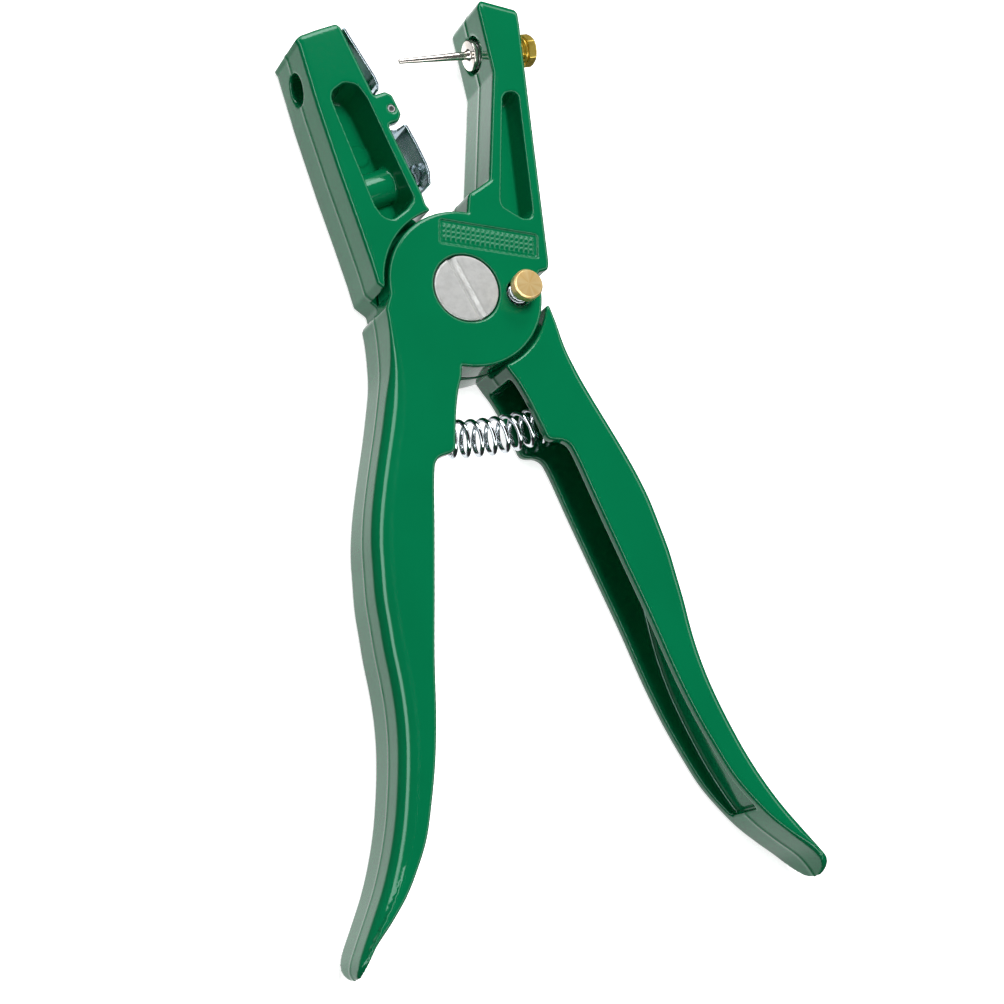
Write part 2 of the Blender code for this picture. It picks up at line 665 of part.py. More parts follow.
def pivot_nut(material):
    """Round blind nut, flush with the back."""
    bore = SCREW_THREAD_RADIUS + GAP
    floor = NUT_HEIGHT + GAP - SCREW_THREAD - GAP
    profile = [(0, 0), (NUT_RADIUS - GAP, 0), (NUT_RADIUS, GAP), (NUT_RADIUS, NUT_HEIGHT),
               (bore, NUT_HEIGHT), (bore, floor), (0, floor)]
    return turned("pivot_nut", profile, steps=WIDE_STEPS, material=material)


def ring_body(name, inner, outer, low, high, place=None, **options):
    """A flat ring between two heights."""
    profile = [(inner, low), (outer, low), (outer, high), (inner, high)]
    return turned(name, profile, place, **options)


def pivot_washer(material):
    """Steel washer between the two halves of the hub."""
    low = (THICKNESS - HUB_SEAM) / 2 + GAP
    high = (THICKNESS + HUB_SEAM) / 2 - GAP
    return ring_body("pivot_washer", SCREW_SHOULDER_RADIUS + GAP, WASHER_RADIUS, low, high,
                     material=material)


def piercing_pin(material):
    """Pointed pin with its flange and the shank that enters the bolt."""
    tip, along = pin_frame()
    flange_end = PIN_LENGTH + PIN_FLANGE
    profile = [(0, 0), (PIN_TIP_RADIUS, PIN_POINT), (PIN_RADIUS, PIN_LENGTH * 0.85),
               (PIN_RADIUS, PIN_LENGTH), (PIN_FLANGE_RADIUS, PIN_LENGTH),
               (PIN_FLANGE_RADIUS, flange_end), (PIN_SHANK_RADIUS, flange_end),
               (PIN_SHANK_RADIUS, flange_end + PIN_SHANK), (0, flange_end + PIN_SHANK)]
    return turned("piercing_pin", profile, frame_on(tip, along), 24, material)


def pin_collar(material):
    """Collar between the pin's flange and the floor of the spot face."""
    tip, along = pin_frame()
    low = PIN_LENGTH + PIN_FLANGE + GAP
    return ring_body("pin_collar", PIN_SHANK_RADIUS + GAP, COLLAR_RADIUS, low, low + COLLAR,
                     frame_on(tip, along), steps=24, material=material)


def pin_bolt(material):
    """Hex bolt behind the pin jaw, socketed for the pin's shank."""
    tip, along = pin_frame()
    place = frame_on(tip, along)
    socket = PIN_SHANK_RADIUS + GAP
    back = pin_back()
    head = back + BOLT_NECK
    profile = [(socket, back), (BOLT_RADIUS, back), (BOLT_RADIUS, head + BOLT_HEAD / 2),
               (0, head + BOLT_HEAD / 2), (0, back + BOLT_SOCKET),
               (socket, back + BOLT_SOCKET)]
    neck = turned("pin_bolt", [profile[4], profile[5]] + profile[:4], place, 24, material)
    corner = BOLT_FLATS / math.sqrt(3)
    head_profile = [(0, head), (corner, head), (corner, head + BOLT_HEAD - BOLT_CHAMFER),
                    (corner - BOLT_CHAMFER, head + BOLT_HEAD), (0, head + BOLT_HEAD)]
    combine(neck, turned("bolt_head", head_profile, place, 6), "UNION")
    return neck


def lock_knob(material, parent):
    """Turned knob, blind-bored for the stem; the heights are in the part's frame."""
    low = THICKNESS + LOCK_STAND
    step = low + LOCK_KNOB_STEP
    high = low + LOCK_KNOB_HEIGHT
    bore = LOCK_STEM_RADIUS + GAP
    floor = high - LOCK_KNOB_STEP
    profile = [(0, floor), (bore, floor), (bore, low), (LOCK_KNOB_STEP_RADIUS, low),
               (LOCK_KNOB_STEP_RADIUS, step), (LOCK_KNOB_RADIUS, step),
               (LOCK_KNOB_RADIUS, high - LOCK_KNOB_EDGE),
               (LOCK_KNOB_RADIUS - LOCK_KNOB_EDGE, high), (0, high)]
    return turned("lock_knob", profile, material=material, parent=parent)


def lock_stem(material, parent):
    """Steel stem from inside the knob down to the seam, grooved for its ring."""
    seam = (THICKNESS + HUB_SEAM) / 2
    low = seam + LOCK_STEM_TIP
    high = THICKNESS + LOCK_STAND + LOCK_KNOB_HEIGHT - LOCK_KNOB_STEP - GAP
    groove = LOCK_STEM_RADIUS - LOCK_GROOVE
    ring_high = seam + LOCK_RECESS_DEPTH
    ring_low = ring_high - LOCK_RING - 2 * GAP
    profile = [(0, low), (LOCK_STEM_RADIUS - GAP, low), (LOCK_STEM_RADIUS, low + GAP),
               (LOCK_STEM_RADIUS, ring_low), (groove, ring_low), (groove, ring_high),
               (LOCK_STEM_RADIUS, ring_high), (LOCK_STEM_RADIUS, high), (0, high)]
    return turned("lock_stem", profile, steps=24, material=material, parent=parent)


def lock_ring(material, parent):
    """Retaining ring in the stem's groove."""
    high = (THICKNESS + HUB_SEAM) / 2 + LOCK_RECESS_DEPTH - GAP
    inner = LOCK_STEM_RADIUS - LOCK_GROOVE + GAP
    return ring_body("lock_ring", inner, LOCK_RING_RADIUS, high - LOCK_RING, high,
                     steps=24, material=material, parent=parent)


def least_gap(points, wire, points_per_turn):
    """The least clear distance between one part of a wound wire and another."""
    line = np.array(points)
    away = np.linalg.norm(line[:, None] - line[None, :], axis=2)
    order = np.arange(len(line))
    apart = np.abs(order[:, None] - order[None, :]) > points_per_turn / 2
    return away[apart].min() - wire


def wound(name, points, wire, material, parent=None):
    """One unbroken wire along points, with its least gap to itself printed."""
    line = bpy.data.curves.new(name, "CURVE")
    line.dimensions = "3D"
    line.bevel_depth = wire / 2
    line.bevel_resolution = 1
    line.use_fill_caps = True
    path = line.splines.new("POLY")
    path.points.add(len(points) - 1)
    for slot, point in zip(path.points, points):
        slot.co = (*point, 1)
    made = bpy.data.objects.new(name, line)
    bpy.context.scene.collection.objects.link(made)
    line.materials.append(material)
    made.parent = parent
    gap = least_gap(points, wire, COIL_POINTS) / MM
    print(f"{name}: least gap to itself {gap:.2f} mm")
    return made


def straight_coil(radius, turns, low, high):
    """Points of a helix about Z between two heights."""
    count = turns * COIL_POINTS
    steps = np.arange(count + 1)
    angle = 2 * np.pi * steps / COIL_POINTS
    height = low + (high - low) * steps / count
    return np.column_stack([radius * np.cos(angle), radius * np.sin(angle), height])


def return_spring(material):
    """The bowed compression spring between the webs, wound round the two pegs."""
    seat = (SPRING_SEAT + SPRING_WIRE / 2) / SPRING_BOW
    left, right = seat - spring_half(-1), spring_half(1) - seat
    count = SPRING_TURNS * COIL_POINTS
    points = []
    for step in range(count + 1):
        point, along = bow_point(left + (right - left) * step / count)
        across = Vector((-along.y, along.x, 0))
        angle = 2 * math.pi * step / COIL_POINTS
        points.append(point + across * (SPRING_RADIUS * math.cos(angle))
                      + Vector((0, 0, SPRING_RADIUS * math.sin(angle))))
    return wound("return_spring", [tuple(p) for p in points], SPRING_WIRE, material)


def clip_spring(material, parent, origin):
    """The small spring between the bore in the boss and the clip's thumb plate."""
    foot = Vector((*on_face(CLIP_SPRING_HEIGHT, 0), THICKNESS / 2)) - origin
    out = Vector((*face_frame()[2], 0))
    low = GAP + CLIP_SPRING_WIRE / 2 - CLIP_BORE_DEPTH
    high = CLIP_THUMB_STAND - CLIP_SHEET / 2 - GAP - CLIP_SPRING_WIRE / 2
    place = frame_on(foot, out)
    local = straight_coil(CLIP_SPRING_RADIUS, CLIP_SPRING_TURNS, low, high)
    points = [tuple(place @ Vector(point)) for point in local]
    return wound("clip_spring", points, CLIP_SPRING_WIRE, material, parent)


def lock_spring(material):
    """The spring round the lock's stem, in its well."""
    x, y = lock_spot()
    low = THICKNESS - LOCK_WELL_DEPTH + GAP + LOCK_WIRE / 2
    high = THICKNESS + LOCK_STAND - GAP - LOCK_WIRE / 2
    radius = LOCK_STEM_RADIUS + GAP + LOCK_WIRE / 2
    points = straight_coil(radius, LOCK_TURNS, low, high) + np.array([x, y, 0])
    return wound("lock_spring", [tuple(p) for p in points], LOCK_WIRE, material)


def clip_path():
    """The clip's sheet in side view, top to bottom: (height, stand-off, side margin)."""
    length = face_frame()[3]
    flat = GAP + CLIP_SHEET / 2
    wide = CLIP_SIDE_MARGIN
    narrow = LUG_THICKNESS + 2 * GAP
    thumb = CLIP_THUMB_MARGIN
    neck_top = LUG_TOP + CLIP_NECK_MARGIN
    neck_foot = LUG_FOOT - CLIP_SHEET / 2 - GAP
    step = CLIP_SHEET
    return [
        (length - CLIP_TOP_MARGIN, flat, wide),
        (CLIP_BULGE_HEIGHT + CLIP_BULGE_REACH / 3, CLIP_BULGE, wide),
        (CLIP_BULGE_HEIGHT - CLIP_BULGE_REACH / 3, CLIP_BULGE * 0.95, wide),
        (neck_top, (CLIP_BULGE + flat) / 2, wide),
        (neck_top - GAP / 3, (CLIP_BULGE + flat) / 2 - GAP / 3, narrow),
        (LUG_TOP - step, flat, narrow),
        (LUG_FOOT + step, flat, narrow),
        (neck_foot, flat + step, narrow),
        (neck_foot - GAP, LUG_STAND - 2 * step, narrow),
        (neck_foot - 2 * GAP, LUG_STAND - step, thumb),
        (neck_foot - step * 1.5, LUG_STAND, thumb),
        ((neck_foot + CLIP_SPRING_HEIGHT) / 2, CLIP_THUMB_STAND, thumb),
        (CLIP_SPRING_HEIGHT, CLIP_THUMB_STAND, thumb),
        ((CLIP_SPRING_HEIGHT + CLIP_THUMB_END) / 2, (CLIP_THUMB_STAND * 2
                                                     + CLIP_THUMB_END_STAND) / 3, thumb),
        (CLIP_THUMB_END, CLIP_THUMB_END_STAND, thumb + 2 * step),
    ]


def tag_clip(material, parent, origin):
    """The hinged sheet: forked plate on the jaw's face, ears at the hinge, thumb plate."""
    path = clip_path()
    plan = np.array([on_face(height, stand) for height, stand, margin in path])
    run = np.gradient(plan, axis=0)
    run /= np.linalg.norm(run, axis=1)[:, None]
    side = np.stack([-run[:, 1], run[:, 0]], axis=1) * CLIP_SHEET / 2
    rings = []
    for middle, half, (height, stand, margin) in zip(plan, side, path):
        low, high = margin, THICKNESS - margin
        left, right = middle - half, middle + half
        ring = [(*left, low), (*right, low), (*right, high), (*left, high)]
        rings.append([Vector(point) - origin for point in ring])
    body = loft("tag_clip", rings, material, parent)
    hinge = Vector(on_face(CLIP_HINGE_HEIGHT, CLIP_HINGE_STAND))
    for index, low in enumerate((LUG_THICKNESS + 2.5 * GAP,
                                 THICKNESS - LUG_THICKNESS - 2.5 * GAP - CLIP_SHEET)):
        combine(body, clip_ear(f"clip_ear_{index}", hinge, low), "UNION")
    combine(body, rod("clip_hinge_bore", CLIP_PIN_RADIUS + GAP, (*hinge, 0),
                      (*hinge, THICKNESS), 24))
    combine(body, clip_slot())
    return body


def clip_ear(name, hinge, low):
    """One folded ear: a round end about the hinge on a foot that stands on the sheet."""
    foot_high = Vector(on_face(CLIP_HINGE_HEIGHT + CLIP_EAR_RADIUS, GAP + CLIP_SHEET / 2))
    foot_low = Vector(on_face(CLIP_HINGE_HEIGHT - CLIP_EAR_RADIUS, GAP + CLIP_SHEET / 2))
    out = face_frame()[2]
    turn = math.degrees(math.atan2(out.y, out.x))
    crown = arc(CLIP_EAR_RADIUS, turn - 90, turn + 90, 20, tuple(hinge))
    plan = [tuple(foot_low)] + crown + [tuple(foot_high)]
    return prism(name, plan, low, low + CLIP_SHEET)


def clip_slot():
    """The round-ended slot in the clip's top that lets the pin through."""
    length = face_frame()[3]
    out = face_frame()[2]
    middle = THICKNESS / 2
    radius = CLIP_SLOT_WIDTH / 2
    plan = []
    for x, y in arc(radius, 180, 360, 20):
        plan.append((CLIP_SLOT_FOOT + radius + y, middle + x))
    plan += [(length + OVERRUN, middle + radius), (length + OVERRUN, middle - radius)]
    low_stand, high_stand = -OVERRUN, CLIP_BULGE + OVERRUN
    rings = []
    for stand in (low_stand, high_stand):
        ring = []
        for height, level in plan:
            ring.append((*on_face(height, stand), level))
        rings.append(ring)
    return loft("clip_slot", rings)


def clip_hinge_pin(material, parent):
    """The straight pin through both lugs and the clip's ears."""
    x, y = on_face(CLIP_HINGE_HEIGHT, CLIP_HINGE_STAND)
    return rod("clip_hinge_pin", CLIP_PIN_RADIUS, (x, y, GAP), (x, y, THICKNESS - GAP), 24,
               material=material, parent=parent)


def build():
    """Make every piece with its own finish, the moving ones under their axes."""
    clear_scene()
    tag_axis = empty_at("lever_axis", (0, 0, 0))
    lock_axis = empty_at("lock_axis", (*lock_spot(), 0))
    hinge = Vector((*on_face(CLIP_HINGE_HEIGHT, CLIP_HINGE_STAND), 0))
    clip_axis = empty_at("clip_axis", hinge, tag_axis)

    pin_lever(finish("green_enamel_front", (0.002, 0.15, 0.07), 0.2, 0.28))
    tag_lever(finish("green_enamel_rear", (0.002, 0.15, 0.07), 0.2, 0.28), tag_axis)
    pivot_screw(finish("screw_steel", (0.55, 0.56, 0.56), 1.0, 0.4))
    pivot_nut(finish("nut_steel", (0.5, 0.5, 0.5), 1.0, 0.4))
    pivot_washer(finish("washer_steel", (0.5, 0.5, 0.5), 1.0, 0.35))
    piercing_pin(finish("pin_steel", (0.65, 0.62, 0.57), 1.0, 0.22))
    pin_collar(finish("collar_steel", (0.55, 0.55, 0.55), 1.0, 0.3))
    pin_bolt(finish("bolt_brass", (0.42, 0.33, 0.06), 1.0, 0.35))
    lock_knob(finish("knob_brass", (0.58, 0.36, 0.08), 1.0, 0.3), lock_axis)
    lock_stem(finish("stem_steel", (0.6, 0.6, 0.6), 1.0, 0.25), lock_axis)
    lock_ring(finish("ring_steel", (0.5, 0.5, 0.5), 1.0, 0.35), lock_axis)
    lock_spring(finish("lock_wire", (0.62, 0.63, 0.64), 1.0, 0.25))
    return_spring(finish("spring_wire", (0.62, 0.65, 0.69), 1.0, 0.2))
    tag_clip(finish("clip_zinc", (0.62, 0.66, 0.72), 1.0, 0.22), clip_axis, hinge)
    clip_hinge_pin(finish("hinge_steel", (0.55, 0.55, 0.55), 1.0, 0.3), tag_axis)
    clip_spring(finish("clip_wire", (0.6, 0.62, 0.64), 1.0, 0.25), clip_axis, hinge)


build()
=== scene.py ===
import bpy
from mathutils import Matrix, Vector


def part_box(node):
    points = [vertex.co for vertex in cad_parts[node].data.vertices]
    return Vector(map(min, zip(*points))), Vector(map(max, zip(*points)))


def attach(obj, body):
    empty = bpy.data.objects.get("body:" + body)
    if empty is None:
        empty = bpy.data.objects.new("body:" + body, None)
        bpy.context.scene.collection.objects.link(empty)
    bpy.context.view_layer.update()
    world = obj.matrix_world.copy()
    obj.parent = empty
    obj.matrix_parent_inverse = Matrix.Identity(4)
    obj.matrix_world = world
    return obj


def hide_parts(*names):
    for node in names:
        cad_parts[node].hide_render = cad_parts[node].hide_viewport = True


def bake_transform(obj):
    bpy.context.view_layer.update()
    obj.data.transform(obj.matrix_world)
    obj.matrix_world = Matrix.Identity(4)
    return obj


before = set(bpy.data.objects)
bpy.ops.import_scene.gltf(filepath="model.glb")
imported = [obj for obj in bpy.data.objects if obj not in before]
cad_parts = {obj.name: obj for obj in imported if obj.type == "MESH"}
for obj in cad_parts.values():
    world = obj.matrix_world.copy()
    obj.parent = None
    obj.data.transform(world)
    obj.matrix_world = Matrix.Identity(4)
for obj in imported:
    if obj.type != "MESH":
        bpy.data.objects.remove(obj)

"""Looks of a cast, green enamelled ear tag applicator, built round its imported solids.

The castings, the screw, the bolt and the clip are fields: a number at every point that is
negative inside the metal. Their cuts and joins keep a real fillet radius, and a surface
is drawn where the field is zero. Turned pieces are profiles spun round an axis, and the
springs are round wire carried along a helix. Lengths are metres.
"""
import logging
import math
from dataclasses import dataclass, field
from enum import Enum

import bpy
import numpy as np
from mathutils import Matrix, Vector

MM = 0.001
# Keeps a division by nothing safe
TINY = 1e-6
# How much of its shorter side a rounded corner may take up
MOST_REACH_SHARE = 0.45
# How far a surface point may lie outside its cell, in cells
OVERSHOOT = 0.2
# How strongly the larger faces set a casting's shading
FACE_WEIGHT = 60
# From which angle an edge of a turned piece is shaded sharp, in degrees
SHARP_ANGLE = 40.0
# A direction that no wire here starts along
GUIDE_WAY = (0.3, 0.2, 0.9)
# The turns of the rings that dome a wire's end, in degrees
DOME_TURNS = (75, 45, 20)
# How many sides a thin wire's section has, and a thick one's
THIN_WIRE_SIDES = 12
THICK_WIRE_SIDES = 16
# How much of a coil's rise the wire makes evenly, its end turns included
END_RISE_SHARE = 0.12
# How much of a turn lies nearly flat at each end of a coil
END_TURN_SHARE = 0.5
# The turns of a hexagon's flats, in degrees
FLAT_TURNS = np.array((0, 60, 120))
# The range of noise values that is spread over a range of roughness
NOISE_LOW = 0.3
NOISE_HIGH = 0.7
# How long one wave of the wave texture is at scale 1
WAVE_LENGTH = 0.3125
LOG = logging.getLogger("ear_tag_applicator")
Array = np.ndarray
Points = tuple[tuple[float, float], ...]
# Stretches of an outline, each with its edge radius
Runs = list[tuple[Array, float | Array]]
Piece = bpy.types.Object
Material = bpy.types.Material
Tree = bpy.types.NodeTree
Socket = bpy.types.NodeSocket


class Body(Enum):
    """The bodies that pieces ride on."""

    PIN_SIDE = "pin_side"
    TAG_SIDE = "tag_side"
    CLIP = "clip"
    LOCK = "lock"


class Slot(Enum):
    """The record's material slots."""

    ENAMEL = "green_enamel"
    ZINC = "zinc_steel"
    SPRING = "spring_steel"
    CLIP = "clip_sheet"
    NICKEL = "pin_nickel"
    KNOB = "knob_brass"
    BOLT = "bolt_brass"


# Distances and joins of fields

def round_cross(first: Array, second: Array, radius: Array | float) -> Array:
    """Keep what both fields keep, with a round edge of the radius between them.

    Where both fields lie within the radius of zero, the result is the distance to a
    quarter circle; elsewhere it is the larger of the two.

    Args:
        first: One field, negative inside.
        second: The other field, negative inside.
        radius: The edge radius, one number or one for each point.

    Returns:
        The field of the common body.
    """
    over_first = np.maximum(first + radius, 0)
    over_second = np.maximum(second + radius, 0)
    corner = np.sqrt(over_first * over_first + over_second * over_second)
    return np.minimum(-radius, np.maximum(first, second)) + corner


def round_join(first: Array, second: Array, radius: Array | float) -> Array:
    """Join two bodies with a hollow fillet of the radius where they meet."""
    return -round_cross(-first, -second, radius)


def round_cut(body: Array, tool: Array, radius: Array | float) -> Array:
    """Take a tool away from a body and round the rim that it leaves."""
    return round_cross(body, -tool, radius)


def nearest_on_line(line: Array, x: Array, y: Array, closed: bool) -> tuple[Array, Array, Array]:
    """Distance from plan points to a line of short straight stretches.

    For each stretch, a point's foot is its projection, held between the two ends; the
    nearest foot wins. A running test of edges crossed to the right tells the inside.

    Args:
        line: Corner points, one row each.
        x: X of the plan points.
        y: Y of the plan points.
        closed: Whether the last corner joins the first.

    Returns:
        The unsigned distance, the place along the line counted in stretches, and a mask
        that is true inside a closed line.
    """
    best = np.full(x.shape, np.inf, np.float32)
    place = np.zeros(x.shape, np.float32)
    inside = np.zeros(x.shape, bool)
    starts = line if closed else line[:-1]
    ends = np.roll(line, -1, axis=0) if closed else line[1:]
    for index, ((ax, ay), (bx, by)) in enumerate(zip(starts, ends)):
        run_x, run_y = bx - ax, by - ay
        length = run_x * run_x + run_y * run_y
        share = np.clip(((x - ax) * run_x + (y - ay) * run_y) / length, 0, 1)
        away = (x - ax - share * run_x) ** 2 + (y - ay - share * run_y) ** 2
        nearer = away < best
        best = np.where(nearer, away, best)
        place = np.where(nearer, index + share, place)
        if closed and run_y != 0:
            crosses = (ay <= y) != (by <= y)
            inside ^= crosses & (x < ax + (y - ay) * (run_x / run_y))
    return np.sqrt(best), place, inside


def spread_along(values: Array, place: Array) -> Array:
    """Read a value given at each corner of a closed line at places along it.

    Args:
        values: One value for each corner.
        place: Where each point lies, counted in corners.

    Returns:
        The value at each point.
    """
    low = np.floor(place).astype(int) % len(values)
    share = place - np.floor(place)
    return values[low] * (1 - share) + values[(low + 1) % len(values)] * share


def smooth_through(points: Array, spacing: float) -> Array:
    """A smooth curve through points, as short stretches.

    Between two points it is a Catmull-Rom curve whose knots are spaced by the square root
    of the distance, which keeps it from swinging wide at close points.

    Args:
        points: The points to pass through, one row each.
        spacing: About how long a stretch is.

    Returns:
        The points of the curve.
    """
    ends = np.vstack([2 * points[0] - points[1], points, 2 * points[-1] - points[-2]])
    knots = np.concatenate([[0], np.cumsum(np.sqrt(np.linalg.norm(np.diff(ends, axis=0),
                                                                  axis=1)))])
    parts = []
    for index in range(1, len(ends) - 2):
        p0, p1, p2, p3 = ends[index - 1:index + 3]
        t0, t1, t2, t3 = knots[index - 1:index + 3]
        count = max(2, math.ceil(np.linalg.norm(p2 - p1) / spacing))
        t = np.linspace(t1, t2, count, endpoint=False)[:, None]
        a1 = (t1 - t) / (t1 - t0) * p0 + (t - t0) / (t1 - t0) * p1
        a2 = (t2 - t) / (t2 - t1) * p1 + (t - t1) / (t2 - t1) * p2
        a3 = (t3 - t) / (t3 - t2) * p2 + (t - t2) / (t3 - t2) * p3
        b1 = (t2 - t) / (t2 - t0) * a1 + (t - t0) / (t2 - t0) * a2
        b2 = (t3 - t) / (t3 - t1) * a2 + (t - t1) / (t3 - t1) * a3
        parts.append((t2 - t) / (t2 - t1) * b1 + (t - t1) / (t2 - t1) * b2)
    parts.append(points[-1:])
    return np.vstack(parts)


def round_corners(points: Array, radius: float, closed: bool, steps: int = 5) -> Array:
    """Swap each corner of a line for an arc that touches both sides.

    The arc's touching points lie radius * tan(half the turn) from the corner, or 45% of
    the shorter side where that is less.

    Args:
        points: Corner points, one row each.
        radius: The wanted corner radius.
        closed: Whether the last corner joins the first.
        steps: How many stretches an arc has.

    Returns:
        The points of the rounded line.
    """
    made = [] if closed else [points[:1]]
    count = len(points)
    for index in range(0 if closed else 1, count if closed else count - 1):
        here = points[index]
        back = points[index - 1] - here
        ahead = points[(index + 1) % count] - here
        back_long, ahead_long = np.linalg.norm(back), np.linalg.norm(ahead)
        back, ahead = back / back_long, ahead / ahead_long
        opening = math.acos(np.clip(back @ ahead, -1, 1))
        reach = min(radius / max(math.tan(opening / 2), TINY),
                    MOST_REACH_SHARE * min(back_long, ahead_long))
        t = np.linspace(0, 1, steps + 1)[:, None]
        start, end = here + back * reach, here + ahead * reach
        made.append((1 - t) ** 2 * start + 2 * t * (1 - t) * here + t ** 2 * end)
    if not closed:
        made.append(points[-1:])
    return np.vstack(made)


def arc_points(radius: float, start: float, end: float, step: float = 3.0) -> Array:
    """Points round the pivot from one angle to another, in degrees.

    Args:
        radius: Distance from the pivot.
        start: The first angle.
        end: The last angle.
        step: Roughly the angle between two points.

    Returns:
        The points.
    """
    count = max(2, round(abs(end - start) / step) + 1)
    turns = np.radians(np.linspace(start, end, count))
    return radius * np.column_stack([np.cos(turns), np.sin(turns)])


def scaled(shares: Points, wide: float, tall: float) -> Array:
    """Points from shares of a width and of a height."""
    return np.array(shares) * (wide, tall)


@dataclass
class Lattice:
    """The regular points at which a field is worked out.

    Attributes:
        low: The lowest corner.
        high: The highest corner.
        cell: The spacing, the same each way.
        margin: How many cells to add outside both corners.
    """

    low: Vector
    high: Vector
    cell: float
    margin: int = 2

    def axis(self, index: int) -> Array:
        """The coordinates along one axis.

        Args:
            index: Which axis: 0, 1 or 2.

        Returns:
            The coordinates, lowest first.
        """
        start = self.low[index] - self.margin * self.cell
        count = math.ceil((self.high[index] - self.low[index]) / self.cell) + 2 * self.margin
        return (start + self.cell * np.arange(count + 1)).astype(np.float32)

    def grids(self) -> tuple[Array, Array, Array]:
        """X and Y as flat plan grids with a last axis of one, and Z along that axis."""
        x, y = np.meshgrid(self.axis(0), self.axis(1), indexing="ij")
        return x[:, :, None], y[:, :, None], self.axis(2)[None, None, :]

    def origin(self) -> Array:
        """The first lattice point."""
        return np.array([self.axis(index)[0] for index in range(3)])


# The corners of a cell, and the pairs of corners that its twelve edges join
CORNERS = np.array([(i, j, k) for i in (0, 1) for j in (0, 1) for k in (0, 1)])
EDGES = [(a, b) for a in range(8) for b in range(a + 1, 8)
         if np.abs(CORNERS[a] - CORNERS[b]).sum() == 1]


def skin_points(values: Array, cells: Array) -> Array:
    """Where the surface passes through each cell that it crosses.

    The point starts at the mean of the crossings on the cell's edges. Then it is moved
    along the slope of the field between the corners until the field there is zero.

    Args:
        values: The field on the lattice.
        cells: The lowest lattice index of each crossed cell.

    Returns:
        The points in lattice steps.
    """
    at = [values[tuple((cells + corner).T)].astype(np.float64) for corner in CORNERS]
    total = np.zeros((len(cells), 3))
    count = np.zeros(len(cells))
    for a, b in EDGES:
        crossed = (at[a] < 0) != (at[b] < 0)
        share = np.where(crossed, at[a] / np.where(crossed, at[a] - at[b], 1), 0)[:, None]
        point = CORNERS[a] + share * (CORNERS[b] - CORNERS[a])
        total += np.where(crossed[:, None], point, 0)
        count += crossed
    place = total / count[:, None]
    for _ in range(2):
        level, slope = np.zeros(len(cells)), np.zeros((len(cells), 3))
        for value, corner in zip(at, CORNERS):
            weight = np.where(corner == 1, place, 1 - place)
            sign = np.where(corner == 1, 1, -1)
            level += value * weight.prod(axis=1)
            for axis in range(3):
                rest = np.delete(weight, axis, axis=1).prod(axis=1)
                slope[:, axis] += value * sign[axis] * rest
        painted_reflection_glow = np.maximum((slope ** 2).sum(axis=1), TINY ** 2)
        place = np.clip(place - (level / painted_reflection_glow)[:, None] * slope, -OVERSHOOT, 1 + OVERSHOOT)
    return cells + place


def skin_faces(values: Array, numbers: Array) -> Array:
    """One four-sided face round each lattice edge that the surface crosses.

    Args:
        values: The field on the lattice.
        numbers: The point number of each cell, or -1.

    Returns:
        Rows of four point numbers, counted round so that the face points outwards.
    """
    inside = values < 0
    rows = []
    for axis in range(3):
        side, up = (axis + 1) % 3, (axis + 2) % 3
        first = np.moveaxis(inside, axis, 0)[:-1]
        second = np.moveaxis(inside, axis, 0)[1:]
        changed = np.moveaxis(first != second, 0, axis)
        edge = np.argwhere(changed)
        edge = edge[(edge[:, side] > 0) & (edge[:, up] > 0)]
        edge = edge[(edge[:, side] < numbers.shape[side]) & (edge[:, up] < numbers.shape[up])]
        corners = []
        for back_side, back_up in ((1, 1), (0, 1), (0, 0), (1, 0)):
            cell = edge.copy()
            cell[:, side] -= back_side
            cell[:, up] -= back_up
            corners.append(numbers[tuple(cell.T)])
        quads = np.column_stack(corners)
        outward = inside[tuple(edge.T)]
        rows.append(np.where(outward[:, None], quads, quads[:, ::-1]))
    return np.vstack(rows)


def mesh_from(name: str, points: Array, faces: Array) -> Piece:
    """Put points and equal-sided faces into a smooth-shaded mesh object at the origin.

    Args:
        name: The object's name.
        points: The corners.
        faces: Each face's corners, as indices of points.

    Returns:
        The object.
    """
    mesh = bpy.data.meshes.new(name)
    sides = faces.shape[1]
    mesh.vertices.add(len(points))
    mesh.vertices.foreach_set("co", np.asarray(points, np.float32).ravel())
    mesh.loops.add(faces.size)
    mesh.loops.foreach_set("vertex_index", faces.astype(np.int32).ravel())
    mesh.polygons.add(len(faces))
    mesh.polygons.foreach_set("loop_start", np.arange(0, faces.size, sides, dtype=np.int32))
    mesh.update(calc_edges=True)
    mesh.validate()
    mesh.shade_smooth()
    made = bpy.data.objects.new(name, mesh)
    bpy.context.scene.collection.objects.link(made)
    return made


def skin(name: str, values: Array, lattice: Lattice) -> Piece:
    """Draw the surface on which a field is zero.

    Args:
        name: The new object's name.
        values: The field at every lattice point.
        lattice: The lattice that the field was worked out on.

    Returns:
        The new object.
    """
    inside = values < 0
    count = np.zeros(tuple(size - 1 for size in inside.shape), np.int8)
    for i, j, k in CORNERS:
        count += inside[i:i + count.shape[0], j:j + count.shape[1], k:k + count.shape[2]]
    cells = np.argwhere((count > 0) & (count < len(CORNERS)))
    numbers = np.full(count.shape, -1, np.int64)
    numbers[tuple(cells.T)] = np.arange(len(cells))
    points = lattice.origin() + skin_points(values, cells) * lattice.cell
    return mesh_from(name, points, skin_faces(values, numbers))


def thin_out(piece: Piece, most: int) -> None:
    """Bring a piece under a number of triangles, and shade it by its larger faces.

    Args:
        piece: The piece, changed in place.
        most: The most triangles.
    """
    count = 2 * len(piece.data.polygons)
    if count > most:
        fewer = piece.modifiers.new("fewer", "DECIMATE")
        fewer.ratio = most / count
        fewer.use_collapse_triangulate = True
    shade = piece.modifiers.new("shade", "WEIGHTED_NORMAL")
    shade.mode = "FACE_AREA"
    shade.weight = FACE_WEIGHT


# Turned pieces and wire

